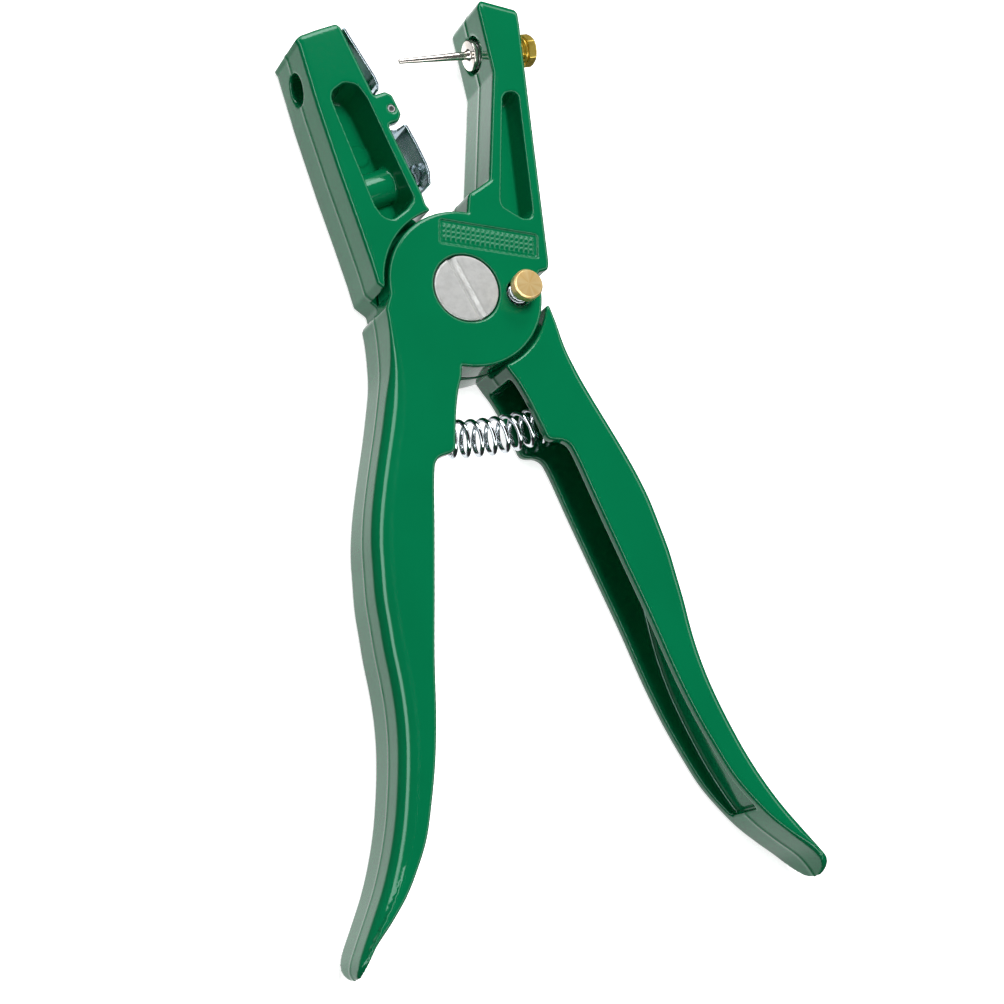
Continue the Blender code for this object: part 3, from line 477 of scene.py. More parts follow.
def frame_on(start: Vector, along: Vector) -> Matrix:
    """A matrix whose Z runs along a direction from a start point."""
    turn = along.to_track_quat("Z", "Y").to_matrix().to_4x4()
    return Matrix.Translation(start) @ turn


def moved(points: Array, place: Matrix) -> Array:
    """Points taken from a local frame to the part's frame."""
    matrix = np.array(place)
    return points @ matrix[:3, :3].T + matrix[:3, 3]


def spun(name: str, profile: Array, place: Matrix, steps: int = 96) -> Piece:
    """Spin a profile of (radius, height) round a local Z axis.

    Point (i, j) is (r_i cos t_j, r_i sin t_j, h_i). A profile that starts and ends on the
    axis closes in two poles, and any other profile closes on itself as a ring does.

    Args:
        name: The new object's name.
        profile: Rows of radius and height; outer side counted from low to high.
        place: Where the local frame stands.
        steps: How many points go round.

    Returns:
        The new object.
    """
    ring = profile[0, 0] > 0
    turns = np.linspace(0, 2 * np.pi, steps, endpoint=False)
    inner = profile if ring else profile[1:-1]
    points = np.stack([inner[:, :1] * np.cos(turns), inner[:, :1] * np.sin(turns),
                       np.repeat(inner[:, 1:], steps, axis=1)], axis=2).reshape(-1, 3)
    rows = np.arange(len(inner) * steps).reshape(len(inner), steps)
    after = np.roll(rows, -1, axis=1)
    if ring:
        low, high = rows, np.roll(rows, -1, axis=0)
        low_after, high_after = after, np.roll(after, -1, axis=0)
    else:
        low, high, low_after, high_after = rows[:-1], rows[1:], after[:-1], after[1:]
    quads = np.stack([low, low_after, high_after, high], axis=2).reshape(-1, 4)
    faces = np.vstack([quads[:, [0, 1, 2]], quads[:, [0, 2, 3]]])
    if not ring:
        poles = np.array([[0, 0, profile[0, 1]], [0, 0, profile[-1, 1]]])
        points = np.vstack([points, poles])
        foot = np.column_stack([np.full(steps, len(points) - 2), after[0], rows[0]])
        head = np.column_stack([np.full(steps, len(points) - 1), rows[-1], after[-1]])
        faces = np.vstack([faces, foot, head])
    made = mesh_from(name, moved(points, place), faces)
    made.data.set_sharp_from_angle(angle=math.radians(SHARP_ANGLE))
    return made


def soft_profile(corners: Points, radius: float) -> Array:
    """A turned profile whose inner corners have a small round edge."""
    return round_corners(np.array(corners), radius, closed=False, steps=4)


def wire(name: str, path: Array, radius: float, sides: int = 14) -> Piece:
    """Round wire along a path, with domed ends.

    Each ring stands square to the path. Its two axes come from the path's direction and
    from a guide that is carried along without twist.

    Args:
        name: The new object's name.
        path: The centre line, one row a point.
        radius: The wire's radius.
        sides: How many points go round the wire.

    Returns:
        The new object.
    """
    along = np.gradient(path, axis=0)
    along /= np.linalg.norm(along, axis=1)[:, None]
    guide = np.zeros_like(path)
    guide[0] = np.cross(along[0], GUIDE_WAY)
    for index in range(1, len(path)):
        guide[index] = guide[index - 1] - along[index] * (guide[index - 1] @ along[index])
    guide /= np.linalg.norm(guide, axis=1)[:, None]
    across = np.cross(along, guide)
    turns = np.linspace(0, 2 * np.pi, sides, endpoint=False)
    dome = np.radians(DOME_TURNS)
    centres = np.vstack([path[0] - np.outer(np.sin(dome), along[0]) * radius, path,
                         path[-1] + np.outer(np.sin(dome[::-1]), along[-1]) * radius])
    sizes = np.concatenate([np.cos(dome), np.ones(len(path)), np.cos(dome[::-1])]) * radius
    extra = len(dome)
    guide = np.vstack([np.repeat(guide[:1], extra, 0), guide, np.repeat(guide[-1:], extra, 0)])
    across = np.vstack([np.repeat(across[:1], extra, 0), across,
                        np.repeat(across[-1:], extra, 0)])
    points = centres[:, None] + sizes[:, None, None] * (
        guide[:, None] * np.cos(turns)[:, None] + across[:, None] * np.sin(turns)[:, None])
    count = len(centres)
    rows = np.arange(count * sides).reshape(count, sides)
    after = np.roll(rows, -1, axis=1)
    quads = np.stack([rows[:-1], after[:-1], after[1:], rows[1:]], axis=2).reshape(-1, 4)
    faces = np.vstack([quads[:, [0, 1, 2]], quads[:, [0, 2, 3]]])
    tips = np.vstack([path[0] - along[0] * radius, path[-1] + along[-1] * radius])
    points = np.vstack([points.reshape(-1, 3), tips])
    foot = np.column_stack([np.full(sides, len(points) - 2), after[0], rows[0]])
    head = np.column_stack([np.full(sides, len(points) - 1), rows[-1], after[-1]])
    return mesh_from(name, points, np.vstack([faces, foot, head]))


# Finishes

def linear(colour: str) -> tuple[float, float, float, float]:
    """An sRGB hex colour as linear light, with a full alpha.

    Args:
        colour: The colour as #RRGGBB.

    Returns:
        Red, green, blue and alpha.
    """
    parts = [int(colour[start:start + 2], 16) / 255 for start in (1, 3, 5)]
    straight = [p / 12.92 if p <= 0.04045 else ((p + 0.055) / 1.055) ** 2.4 for p in parts]
    return (*straight, 1.0)


def add_node(tree: Tree, kind: str, links: dict | None = None,
             **settings: object) -> bpy.types.Node:
    """Add a node with its settings and links.

    Args:
        tree: The node tree.
        kind: Blender's name of the node.
        links: Input name or number to an output socket or a plain value.
        settings: The node's own properties.

    Returns:
        The new node.
    """
    made = tree.nodes.new(kind)
    for key, value in settings.items():
        setattr(made, key, value)
    for key, value in (links or {}).items():
        if isinstance(value, Socket):
            tree.links.new(value, made.inputs[key])
        else:
            made.inputs[key].default_value = value
    return made


def ramp_node(tree: Tree, source: Socket,
              stops: list[tuple[float, str]]) -> Socket:
    """Turn a value into a colour along named stops.

    Args:
        tree: The material's tree.
        source: The value.
        stops: Each value and its colour, lowest first.

    Returns:
        The colour.
    """
    made = add_node(tree, "ShaderNodeValToRGB", {"Fac": source})
    spots = made.color_ramp.elements
    while len(spots) < len(stops):
        spots.new(0.5)
    for spot, (place, colour) in zip(spots, stops):
        spot.position = place
        spot.color = linear(colour)
    return made.outputs["Color"]


def new_material(name: str) -> tuple[Material, Tree, bpy.types.Node]:
    """A material with its tree and its Principled shader.

    Args:
        name: The material's name.

    Returns:
        The material, its tree and the shader.
    """
    made = bpy.data.materials.new(name)
    made.use_nodes = True
    return made, made.node_tree, made.node_tree.nodes["Principled BSDF"]


def noise(tree: Tree, size: float, detail: float = 2.0,
          roughness: float = 0.5) -> Socket:
    """Soft noise in object coordinates, whose blotches are about a real size across.

    Args:
        tree: The node tree.
        size: The blotch size in metres.
        detail: How many finer layers there are.
        roughness: How strong the finer layers are.

    Returns:
        The noise value.
    """
    place = add_node(tree, "ShaderNodeTexCoord")
    made = add_node(tree, "ShaderNodeTexNoise",
                    {"Vector": place.outputs["Object"], "Scale": 1 / size,
                     "Detail": detail, "Roughness": roughness})
    return made.outputs["Fac"]


def rough_range(tree: Tree, source: Socket, low: float,
                high: float) -> Socket:
    """Spread a 0 to 1 value between two roughness values.

    Args:
        tree: The material's tree.
        source: The value.
        low: The lowest roughness.
        high: The highest.

    Returns:
        The roughness.
    """
    made = add_node(tree, "ShaderNodeMapRange",
                    {"Value": source, "From Min": NOISE_LOW, "From Max": NOISE_HIGH,
                     "To Min": low, "To Max": high})
    return made.outputs["Result"]


def bump(tree: Tree, source: Socket, height: float,
         before: Socket | None = None) -> Socket:
    """A bump of a real height in metres, added to one before it.

    Args:
        tree: The material's tree.
        source: The pattern, from 0 to 1.
        height: How high its 1 stands.
        before: The bump that lies under it.

    Returns:
        The bent normal.
    """
    links = {"Height": source, "Strength": 1.0, "Distance": height}
    if before is not None:
        links["Normal"] = before
    return add_node(tree, "ShaderNodeBump", links).outputs["Normal"]


@dataclass(frozen=True)
class Enamel:
    """Green stoving enamel, sprayed on die-cast aluminium.

    The paint is glossy and thick enough to soften every edge. It has the faint orange
    peel of a sprayed coat and pools a little darker.

    Attributes:
        colour: The paint's colour.
        pooled: Its colour where it has pooled.
        gloss: The tint of its mirrored light.
        peel_size: How wide a bump of the orange peel is.
        peel_height: How high it is.
        cloud_size: How wide a pooled patch is.
        pooled_to: Noise value up to which the paint is pooled.
        colour_from: Noise value from which it isn't.
        roughness: Its roughness.
        index: Its refractive index.
    """

    colour: str = "#02774A"
    pooled: str = "#027347"
    gloss: str = "#E2FFFA"
    peel_size: float = 1.9 * MM
    peel_height: float = 0.012 * MM
    cloud_size: float = 26 * MM
    pooled_to: float = 0.3
    colour_from: float = 0.6
    roughness: float = 0.11
    index: float = 1.5

    def material(self, name: str) -> Material:
        """Build the material.

        Args:
            name: The material's name.

        Returns:
            The material.
        """
        made, tree, shader = new_material(name)
        cloud = noise(tree, self.cloud_size, 3.0)
        colour = ramp_node(tree, cloud, [(self.pooled_to, self.pooled),
                                         (self.colour_from, self.colour)])
        tree.links.new(colour, shader.inputs["Base Color"])
        shader.inputs["Roughness"].default_value = self.roughness
        shader.inputs["IOR"].default_value = self.index
        shader.inputs["Specular Tint"].default_value = linear(self.gloss)
        normal = bump(tree, noise(tree, self.peel_size, 1.0), self.peel_height)
        tree.links.new(normal, shader.inputs["Normal"])
        return made


@dataclass(frozen=True)
class Metal:
    """A bare or plated metal, with fine handling marks.

    Attributes:
        colour: Its usual colour.
        shade: The colour in its darker patches.
        smooth: Its lowest roughness.
        rough: Its highest roughness.
        patch_size: How wide the patches are.
        grain_height: How deep the fine grain is.
        grain_size: How wide the fine grain is.
        bare: How much of it shines as bare metal; the rest is a matt film.
        shade_to: Noise value up to which a patch is dark.
        colour_from: Noise value from which it has the usual colour.
        patch_detail: How many finer layers the patches have.
        layers: How strong the finer layers of patches and grain are.
    """

    colour: str
    shade: str
    smooth: float
    rough: float
    patch_size: float = 4 * MM
    grain_height: float = 0.004 * MM
    grain_size: float = 0.5 * MM
    bare: float = 0.8
    shade_to: float = 0.35
    colour_from: float = 0.6
    patch_detail: float = 4.0
    layers: float = 0.6

    def material(self, name: str) -> Material:
        """Build the material.

        Args:
            name: The material's name.

        Returns:
            The material.
        """
        made, tree, shader = new_material(name)
        patch = noise(tree, self.patch_size, self.patch_detail, self.layers)
        colour = ramp_node(tree, patch, [(self.shade_to, self.shade),
                                         (self.colour_from, self.colour)])
        tree.links.new(colour, shader.inputs["Base Color"])
        tree.links.new(rough_range(tree, patch, self.rough, self.smooth),
                       shader.inputs["Roughness"])
        shader.inputs["Metallic"].default_value = self.bare
        grain = noise(tree, self.grain_size, 3.0, self.layers)
        tree.links.new(bump(tree, grain, self.grain_height), shader.inputs["Normal"])
        return made


@dataclass(frozen=True)
class TurnedBrass:
    """Brass faced on a lathe, with turning rings about the knob's axis as a fine bump; the fan of
    light that a turned face shows is painted into its colour as bright and dark rays, a painted
    reflection.

    Attributes:
        colour: The bright rays of the painted fan, painted highlight.
        shade: Its darker rays, painted shade.
        ring_pitch: The spacing of the turning marks.
        ring_height: Their height.
        ring_waver: How much they waver.
        roughness: Its roughness.
        bare: How much of it shines as bare metal.
        fan_scale: A larger number gives more painted rays.
        shade_to: Noise value up to which a ray is dark.
        colour_from: Noise value from which it is bright.
    """

    colour: str = "#FFE3A8"
    shade: str = "#F0C67C"
    ring_pitch: float = 0.22 * MM
    ring_height: float = 0.006 * MM
    ring_waver: float = 0.4
    roughness: float = 0.24
    bare: float = 0.45
    fan_scale: float = 1.9
    shade_to: float = 0.3
    colour_from: float = 0.68

    def material(self, name: str, centre: Vector) -> Material:
        """Build the material, with its bump rings and its painted fan of rays about a centre.

        Args:
            name: The material's name.
            centre: The point that the rings go round.

        Returns:
            The material.
        """
        made, tree, shader = new_material(name)
        place = add_node(tree, "ShaderNodeTexCoord")
        centred = add_node(tree, "ShaderNodeMapping",
                           {"Vector": place.outputs["Object"], "Location": -centre})
        rings = add_node(tree, "ShaderNodeTexWave",
                         {"Vector": centred.outputs["Vector"], "Distortion": self.ring_waver,
                          "Scale": WAVE_LENGTH / self.ring_pitch},
                         wave_type="RINGS", rings_direction="Z")
        flat = add_node(tree, "ShaderNodeVectorMath",
                        {0: centred.outputs["Vector"], 1: (1, 1, 0)}, operation="MULTIPLY")
        way = add_node(tree, "ShaderNodeVectorMath", {0: flat.outputs["Vector"]},
                       operation="NORMALIZE")
        # Painted reflection: rays of bright and dark colour round the centre stand in for the fan
        # of light on a turned face
        painted_fan = add_node(tree, "ShaderNodeTexNoise",
                       {"Vector": way.outputs["Vector"], "Scale": self.fan_scale,
                        "Detail": 3.0}).outputs["Fac"]
        colour = ramp_node(tree, painted_fan, [(self.shade_to, self.shade),
                                       (self.colour_from, self.colour)])
        tree.links.new(colour, shader.inputs["Base Color"])
        shader.inputs["Metallic"].default_value = self.bare
        shader.inputs["Roughness"].default_value = self.roughness
        tree.links.new(bump(tree, rings.outputs["Fac"], self.ring_height),
                       shader.inputs["Normal"])
        return made


# Zinc-plated steel, tumbled: light, even and nearly matt
SCREW_ZINC = Metal("#D4D5D3", "#C2C3C1", 0.34, 0.5, 2.6 * MM, 0.012 * MM, 0.35 * MM, bare=0.4)
# Zinc-plated steel on the small fittings: satin
SMALL_ZINC = Metal("#D6D8D8", "#B4B7B8", 0.26, 0.4, bare=0.6)
# Bright zinc on spring wire: mirror-like, with faint draw marks
WIRE_ZINC = Metal("#EAF0F4", "#D4DCE2", 0.08, 0.14, 3 * MM, 0.002 * MM, bare=1.0)
# Bright zinc with a blue passivate on rolled sheet
SHEET_ZINC = Metal("#CEDEE6", "#AFC4D0", 0.1, 0.2, 5 * MM, 0.004 * MM, 0.6 * MM, bare=0.9)
# Nickel on a ground and hardened pin: polished along its length
PIN_NICKEL = Metal("#EEE8E2", "#D8D0C8", 0.09, 0.16, 3 * MM, 0.003 * MM, 0.3 * MM, bare=0.9)
# Yellow passivate on a hex bolt: brassy and glossy
BOLT_YELLOW = Metal("#F0D468", "#D2AE44", 0.14, 0.24, 2.5 * MM, 0.004 * MM, bare=0.6)


def dress(piece: Piece, material: Material, body: Body | None, slot: Slot,
          *nodes: str) -> Piece:
    """Give a piece its material and body, and hide the nodes that it stands for.

    Args:
        piece: The finished piece.
        material: Its material.
        body: The body that it rides on, or None to leave it on no body.
        slot: Its slot in the record; not used.
        nodes: The CAD nodes that it stands for.

    Returns:
        The same piece.
    """
    piece.data.materials.clear()
    piece.data.materials.append(material)
    if body is not None:
        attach(piece, body.value)
    if nodes:
        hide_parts(*nodes)
    LOG.info("%s: %d faces", piece.name, len(piece.data.polygons))
    return piece


# Castings

HANDLE_OUTER_SHARES: Points = (
    (0.358, 0.037), (0.367, 0.072), (0.385, 0.113), (0.420, 0.157), (0.459, 0.201),
    (0.501, 0.245), (0.542, 0.289), (0.578, 0.332), (0.606, 0.375), (0.623, 0.417),
    (0.638, 0.460), (0.644, 0.502), (0.649, 0.542), (0.650, 0.584), (0.655, 0.624),
    (0.668, 0.666), (0.689, 0.707), (0.717, 0.749), (0.750, 0.791), (0.794, 0.835),
    (0.847, 0.878), (0.914, 0.922), (0.963, 0.953), (0.994, 0.975), (1.000, 0.988),
    (0.991, 0.997),
)
HANDLE_INNER_SHARES: Points = (
    (0.982, 0.998), (0.966, 0.984), (0.934, 0.963), (0.850, 0.930), (0.776, 0.899),
    (0.716, 0.866), (0.656, 0.826), (0.606, 0.776), (0.560, 0.722), (0.519, 0.661),
    (0.469, 0.566), (0.413, 0.472), (0.354, 0.372), (0.302, 0.283), (0.290, 0.272),
    (0.267, 0.265), (0.219, 0.261), (0.200, 0.256), (0.187, 0.238), (0.156, 0.193),
    (0.126, 0.160), (0.105, 0.144),
)


@dataclass
class Casting:
    """What both levers share: hub, handle, channel, fillets and the lattice.

    Attributes:
        hub_run: The running gap round the other lever's hub.
        handle_fillet: Front edge radius along the handle's outer side.
        growth_from: Where that radius begins to grow, as a share of the handle's length.
        growth_run: Over what share of the length it grows.
        tip_fillet: Front edge radius at the handle's tip.
        tip_from: Where the inner edge radius begins to grow, as a share of the length.
        tip_run: Over what share of the length it grows.
        tip_steps: How many outline steps before the tip give the way in which it points.
        tip_stretch: How much the handle's end reaches past its node, across and down.
        stretch_from: Where that begins, as a share of the handle's length.
        back_fillet: The largest edge radius at the back.
        edge_fillet: Edge radius along other edges.
        draft_share: Draft at a face, as a share of the edge radius.
        channel_end_share: Where the channel ends, as a share of the handle's length.
        blur: Over how many outline points each way an edge radius is averaged.
    """

    node: str
    thickness: float = 20.0 * MM
    hub_radius: float = 21.2 * MM
    hub_run: float = 1.0 * MM
    seam: float = 1.1 * MM
    handle_fillet: float = 4.6 * MM
    growth_from: float = 0.06
    growth_run: float = 0.1
    tip_fillet: float = 2.2 * MM
    tip_from: float = 0.93
    tip_run: float = 0.06
    tip_dome: float = 10.0 * MM
    tip_steps: int = 20
    tip_stretch: tuple[float, float] = (0.0, 0.0)
    stretch_from: float = 0.6
    back_fillet: float = 0.9 * MM
    edge_fillet: float = 0.9 * MM
    draft_share: float = 0.06
    flange: float = 3.3 * MM
    web: float = 3.9 * MM
    channel_top: float = 25.5 * MM
    channel_end_share: float = 0.885
    channel_rim: float = 0.6 * MM
    end_corner: float = 0.8 * MM
    top_corner: float = 1.2 * MM
    web_fillet: float = 1.3 * MM
    pocket_taper: float = 0.9 * MM
    pocket_fillet: float = 0.5 * MM
    pocket_rim: float = 0.55 * MM
    screw_bore: float = 5.3 * MM
    lap_rim: float = 0.5 * MM
    ridge: float = 0.12 * MM
    ridge_width: float = 0.5 * MM
    blur: int = 3
    spacing: float = 0.8 * MM
    cell: float = 0.42 * MM
    quick_cell: float = 0.7 * MM
    margin: int = 5
    corner_steps: int = 6
    most_triangles: int = 185_000
    peg_radius: float = 2.9 * MM
    peg_length: float = 5.0 * MM
    peg_root: float = 2.0 * MM
    peg_edge: float = 0.6 * MM
    peg_fillet: float = 0.8 * MM
    low: Vector = field(init=False)
    high: Vector = field(init=False)

    def __post_init__(self) -> None:
        """Read the node's box and lay out the lattice."""
        self.low, self.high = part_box(self.node)
        cell = self.cell
        self.lattice = Lattice(self.low, self.high, cell, self.margin)
        self.x, self.y, self.z = self.lattice.grids()
        self.middle = self.thickness / 2
        self.from_pivot = np.hypot(self.x, self.y)

    def plan_field(self, line: Array) -> Array:
        """The signed distance to a closed plan line, negative inside."""
        away, _, inside = nearest_on_line(line, self.x, self.y, closed=True)
        return np.where(inside, -away, away)

    def body_field(self, runs: Runs) -> Array:
        """The uncut casting: its outline, drafted to a parting line and filleted.

        Args:
            runs: Stretches of the outline, each with its edge radius.

        Returns:
            The field.
        """
        line = np.vstack([points for points, _ in runs])
        sizes = np.concatenate([np.broadcast_to(size, len(points)) for points, size in runs])
        window = 2 * self.blur + 1
        sizes = np.concatenate([sizes[-self.blur:], sizes, sizes[:self.blur]])
        sizes = np.convolve(sizes, np.ones(window) / window, "valid")
        away, place, inside = nearest_on_line(line, self.x, self.y, closed=True)
        away = np.where(inside, -away, away)
        fillet = spread_along(sizes, place)
        fillet = np.where(self.z > self.middle, fillet, np.minimum(fillet, self.back_fillet))
        height = np.abs(self.z - self.middle) / self.middle
        ridge = self.ridge * np.exp(-((self.z - self.middle) / self.ridge_width) ** 2)
        side = away + fillet * self.draft_share * height + self.ridge - ridge
        return round_cross(side, (height - 1) * self.middle, fillet)

    def handle_runs(self, handle: Array) -> Runs:
        """The handle's outer and inner stretches with their edge radii.

        The outer radius grows from a sharp top end over the first tenth of the way, and
        both radii meet at the tip, which is blunt.

        Args:
            handle: The handle's line, outer edge first.

        Returns:
            The two stretches.
        """
        split = np.argmin(handle[:, 1])
        outer, inner = handle[:split], handle[split:]
        down = outer[:, 1] / self.low.y
        growth = np.clip((down - self.growth_from) / self.growth_run, 0, 1)
        outer_sizes = self.edge_fillet + (self.handle_fillet - self.edge_fillet) * growth
        near_tip = np.clip((inner[:, 1] / self.low.y - self.tip_from) / self.tip_run, 0, 1)
        inner_sizes = self.edge_fillet + (self.tip_fillet - self.edge_fillet) * near_tip
        return [(outer, outer_sizes), (inner, inner_sizes)]

    def handle_line(self, side: int, start: tuple[float, float], skip: int) -> Array:
        """The smooth outline of a handle, down the outer edge and up the inner one.

        Args:
            side: 1 for the right handle and -1 for the left one.
            start: The first point, as shares of the width and height.
            skip: How many of the outer points are left out.

        Returns:
            The line.
        """
        spread = self.high.x if side > 0 else -self.low.x
        shares = (start,) + HANDLE_OUTER_SHARES[skip:] + HANDLE_INNER_SHARES
        line = smooth_through(scaled(shares, side * spread, self.low.y), self.spacing)
        down = line[:, 1] / self.low.y
        near_tip = np.clip((down - self.stretch_from) / (1 - self.stretch_from), 0, 1)
        return line * (1 + near_tip[:, None] * self.tip_stretch)

    def dome_tip(self, body: Array, handle: Array) -> Array:
        """Round the handle's end off in side view, to an ellipse.

        The end's distance is measured back from the tip, along the last stretch of the
        outer edge, as a share of the dome's length.

        Args:
            body: The casting's field.
            handle: The handle's line.

        Returns:
            The field with its end rounded.
        """
        last = int(np.argmin(handle[:, 1]))
        along = handle[last] - handle[last - self.tip_steps]
        along = along / np.linalg.norm(along)
        run = (handle[last, 0] - self.x) * along[0] + (handle[last, 1] - self.y) * along[1]
        end = np.maximum(1 - run / self.tip_dome, 0)
        dome = (np.hypot(end, (self.z - self.middle) / self.middle) - 1) * self.middle
        return np.maximum(body, dome)

    def channel_field(self, handle: Array, side: int) -> Array:
        """The channel's space, open towards the other handle.

        It is what lies more than a web inside the outer edge, below the top arc, above
        the end wall, and between the flanges.

        Args:
            handle: The handle's line.
            side: 1 for the right handle and -1 for the left one.

        Returns:
            The field.
        """
        outer = handle[:np.argmin(handle[:, 1])]
        away, _, _ = nearest_on_line(outer, self.x, self.y, closed=False)
        inner_side = self.web - away
        edge_x = np.interp(-self.y, -outer[:, 1], np.abs(outer[:, 0]))
        outside = np.abs(self.x) > edge_x
        web = np.where(outside, self.web + away, inner_side)
        end = self.channel_end_share * self.low.y - self.y
        top = np.maximum(self.channel_top - self.from_pivot, self.y + self.hub_radius / 2)
        plan = round_cross(round_cross(web, end, self.end_corner), top, self.top_corner)
        plan = np.maximum(plan, -side * self.x)
        flanges = np.abs(self.z - self.middle) - (self.middle - self.flange)
        return round_cross(plan, flanges, self.web_fillet)

    def pocket_field(self, line: Array, face: float, floor: float) -> Array:
        """A pocket's space: tapered walls and a rounded floor.

        Args:
            line: The pocket's plan line.
            face: The height of its mouth.
            floor: The height of its floor.

        Returns:
            The field.
        """
        depth = abs(face - floor)
        sign = math.copysign(1, face - floor)
        sunk = np.clip((face - self.z) * sign / depth, 0, 1)
        walls = self.plan_field(line) + self.pocket_taper * sunk
        return round_cross(walls, (floor - self.z) * sign, self.pocket_fillet)

    def bore_field(self, x: float, y: float, radius: float, low: float, high: float) -> Array:
        """A round space along Z between two heights."""
        ends = np.maximum(low - self.z, self.z - high)
        return np.maximum(np.hypot(self.x - x, self.y - y) - radius, ends)

    def rod_field(self, start: Vector, along: Vector, radius: float, low: float,
                  high: float, edge: float = 0.0) -> Array:
        """A round space along a direction in the plan, between two distances from a start.

        Args:
            start: A point on its axis.
            along: The way along it.
            radius: Its radius.
            low: Where it begins.
            high: Where it ends.
            edge: The edge radius at its ends.

        Returns:
            The field.
        """
        run = (self.x - start.x) * along.x + (self.y - start.y) * along.y
        aside = (self.y - start.y) * along.x - (self.x - start.x) * along.y
        round_side = np.sqrt(aside ** 2 + (self.z - self.middle) ** 2) - radius
        ends = np.maximum(low - run, run - high)
        return round_cross(round_side, ends, edge) if edge else np.maximum(round_side, ends)

    def peg_field(self, bow: "Bow", side: int) -> Array:
        """The cast peg that the return spring sits on.

        Args:
            bow: The return spring's line.
            side: 1 for the right handle and -1 for the left one.

        Returns:
            The field.
        """
        point, along = bow.at(bow.right if side > 0 else bow.left)
        return self.rod_field(point, -side * along, self.peg_radius, -self.peg_root,
                              self.peg_length, self.peg_edge)

    def finish(self, values: Array) -> Piece:
        """Draw the casting and bring it under the triangle limit.

        Args:
            values: The casting's field.

        Returns:
            The bare piece.
        """
        piece = skin(self.node + "_casting", values, self.lattice)
        thin_out(piece, self.most_triangles)
        return piece


@dataclass
class Bow:
    """The bowed centre line of the return spring.

    Attributes:
        radius: Radius of the bow.
        drop: How far its lowest point lies below the pivot.
        level: Its height above the back plane.
        left: The turn at which it meets the left web, in radians.
        right: The turn at which it meets the right web.
    """

    radius: float = 84.0 * MM
    drop: float = 37.0 * MM
    level: float = 10.0 * MM
    left: float = -0.3119
    right: float = 0.3027

    def at(self, turn: float) -> tuple[Vector, Vector]:
        """A point of the line and the way along it, at an angle from its lowest point.

        Args:
            turn: The angle, in radians.

        Returns:
            The point and the way.
        """
        centre = self.radius - self.drop
        point = Vector((self.radius * math.sin(turn), centre - self.radius * math.cos(turn),
                        self.level))
        return point, Vector((math.cos(turn), math.sin(turn), 0))


@dataclass
class PinAxis:
    """The line that the piercing pin, its collar and its bolt share."""

    tip_shares: tuple[float, float] = (0.006, 0.850)
    slope: float = 2.6
    level: float = 10.0 * MM
    length: float = 20.7 * MM
    flange: float = 1.3 * MM
    collar: float = 3.0 * MM
    gap: float = 0.3 * MM

    def __post_init__(self) -> None:
        """Place the tip from the pin jaw's box."""
        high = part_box("pin_lever")[1]
        self.tip = Vector((self.tip_shares[0] * high.x, self.tip_shares[1] * high.y, self.level))
        slope = math.radians(self.slope)
        self.along = Vector((math.cos(slope), math.sin(slope), 0))
        self.back = self.length + self.flange + self.collar + 2 * self.gap
        self.place = frame_on(self.tip, self.along)


@dataclass(frozen=True)
class Panel:
    """The knurled panel on the pin lever's hub.

    Attributes:
        long: Its length.
        tall: Its width.
        depth: How far it is sunk.
        turn: Its turn about the pivot's axis, in degrees.
        centre: The middle of it.
        pitch: The spacing of the knurl's points.
        relief: The height of the knurl's points.
        corner: The panel's corner radius.
        rim: Its edge radius.
        border: The plain border round the knurl.
        root: How far the knurled field reaches into the casting.
        step: The spacing of its grid.
    """

    long: float = 27.2 * MM
    tall: float = 6.6 * MM
    depth: float = 0.7 * MM
    turn: float = -13.6
    centre: tuple[float, float] = (9.4 * MM, 12.7 * MM)
    pitch: float = 1.35 * MM
    relief: float = 0.42 * MM
    corner: float = 0.5 * MM
    rim: float = 0.15 * MM
    border: float = 0.7 * MM
    root: float = 0.5 * MM
    step: float = 0.11 * MM

    def knurl(self, face: float) -> Piece:
        """The knurled field: a closed plate that stands on the panel's floor.

        Over a grid of places u, v along and across the panel, its top is the floor plus
        relief * (2 + cos(2 pi u / pitch) + cos(2 pi v / pitch)) / 4, faded to the floor
        over one border's width. The underside is the same grid, level and turned over,
        and a strip of quads joins the two rims.

        Args:
            face: Height of the casting's front face.

        Returns:
            The finished piece.
        """
        half_long, half_tall = self.long / 2 - self.border, self.tall / 2 - self.border
        along = np.linspace(-half_long, half_long, round(2 * half_long / self.step) + 1)
        across = np.linspace(-half_tall, half_tall, round(2 * half_tall / self.step) + 1)
        u, v = np.meshgrid(along, across, indexing="ij")
        wave = (2 + np.cos(2 * np.pi * u / self.pitch) + np.cos(2 * np.pi * v / self.pitch)) / 4
        inset = np.minimum(half_long - np.abs(u), half_tall - np.abs(v))
        floor = face - self.depth
        top = floor + self.relief * wave * np.clip(inset / self.border, 0, 1)
        plate = np.concatenate([np.dstack([u, v, top]).reshape(-1, 3),
                                np.dstack([u, v, np.full_like(u, floor - self.root)])
                                .reshape(-1, 3)])
        place = (Matrix.Translation((*self.centre, 0))
                 @ Matrix.Rotation(math.radians(self.turn), 4, "Z"))
        number = np.arange(u.size).reshape(u.shape)
        upper = np.stack([number[:-1, :-1], number[1:, :-1], number[1:, 1:], number[:-1, 1:]],
                         axis=-1).reshape(-1, 4)
        rim = np.concatenate([number[:, 0], number[-1, 1:], number[-2::-1, -1],
                              number[0, -2::-1]])
        under = u.size
        side = np.column_stack([rim[:-1] + under, rim[1:] + under, rim[1:], rim[:-1]])
        faces = np.concatenate([upper, upper[:, ::-1] + under, side])
        return mesh_from("panel_knurl", moved(plate, place), faces)


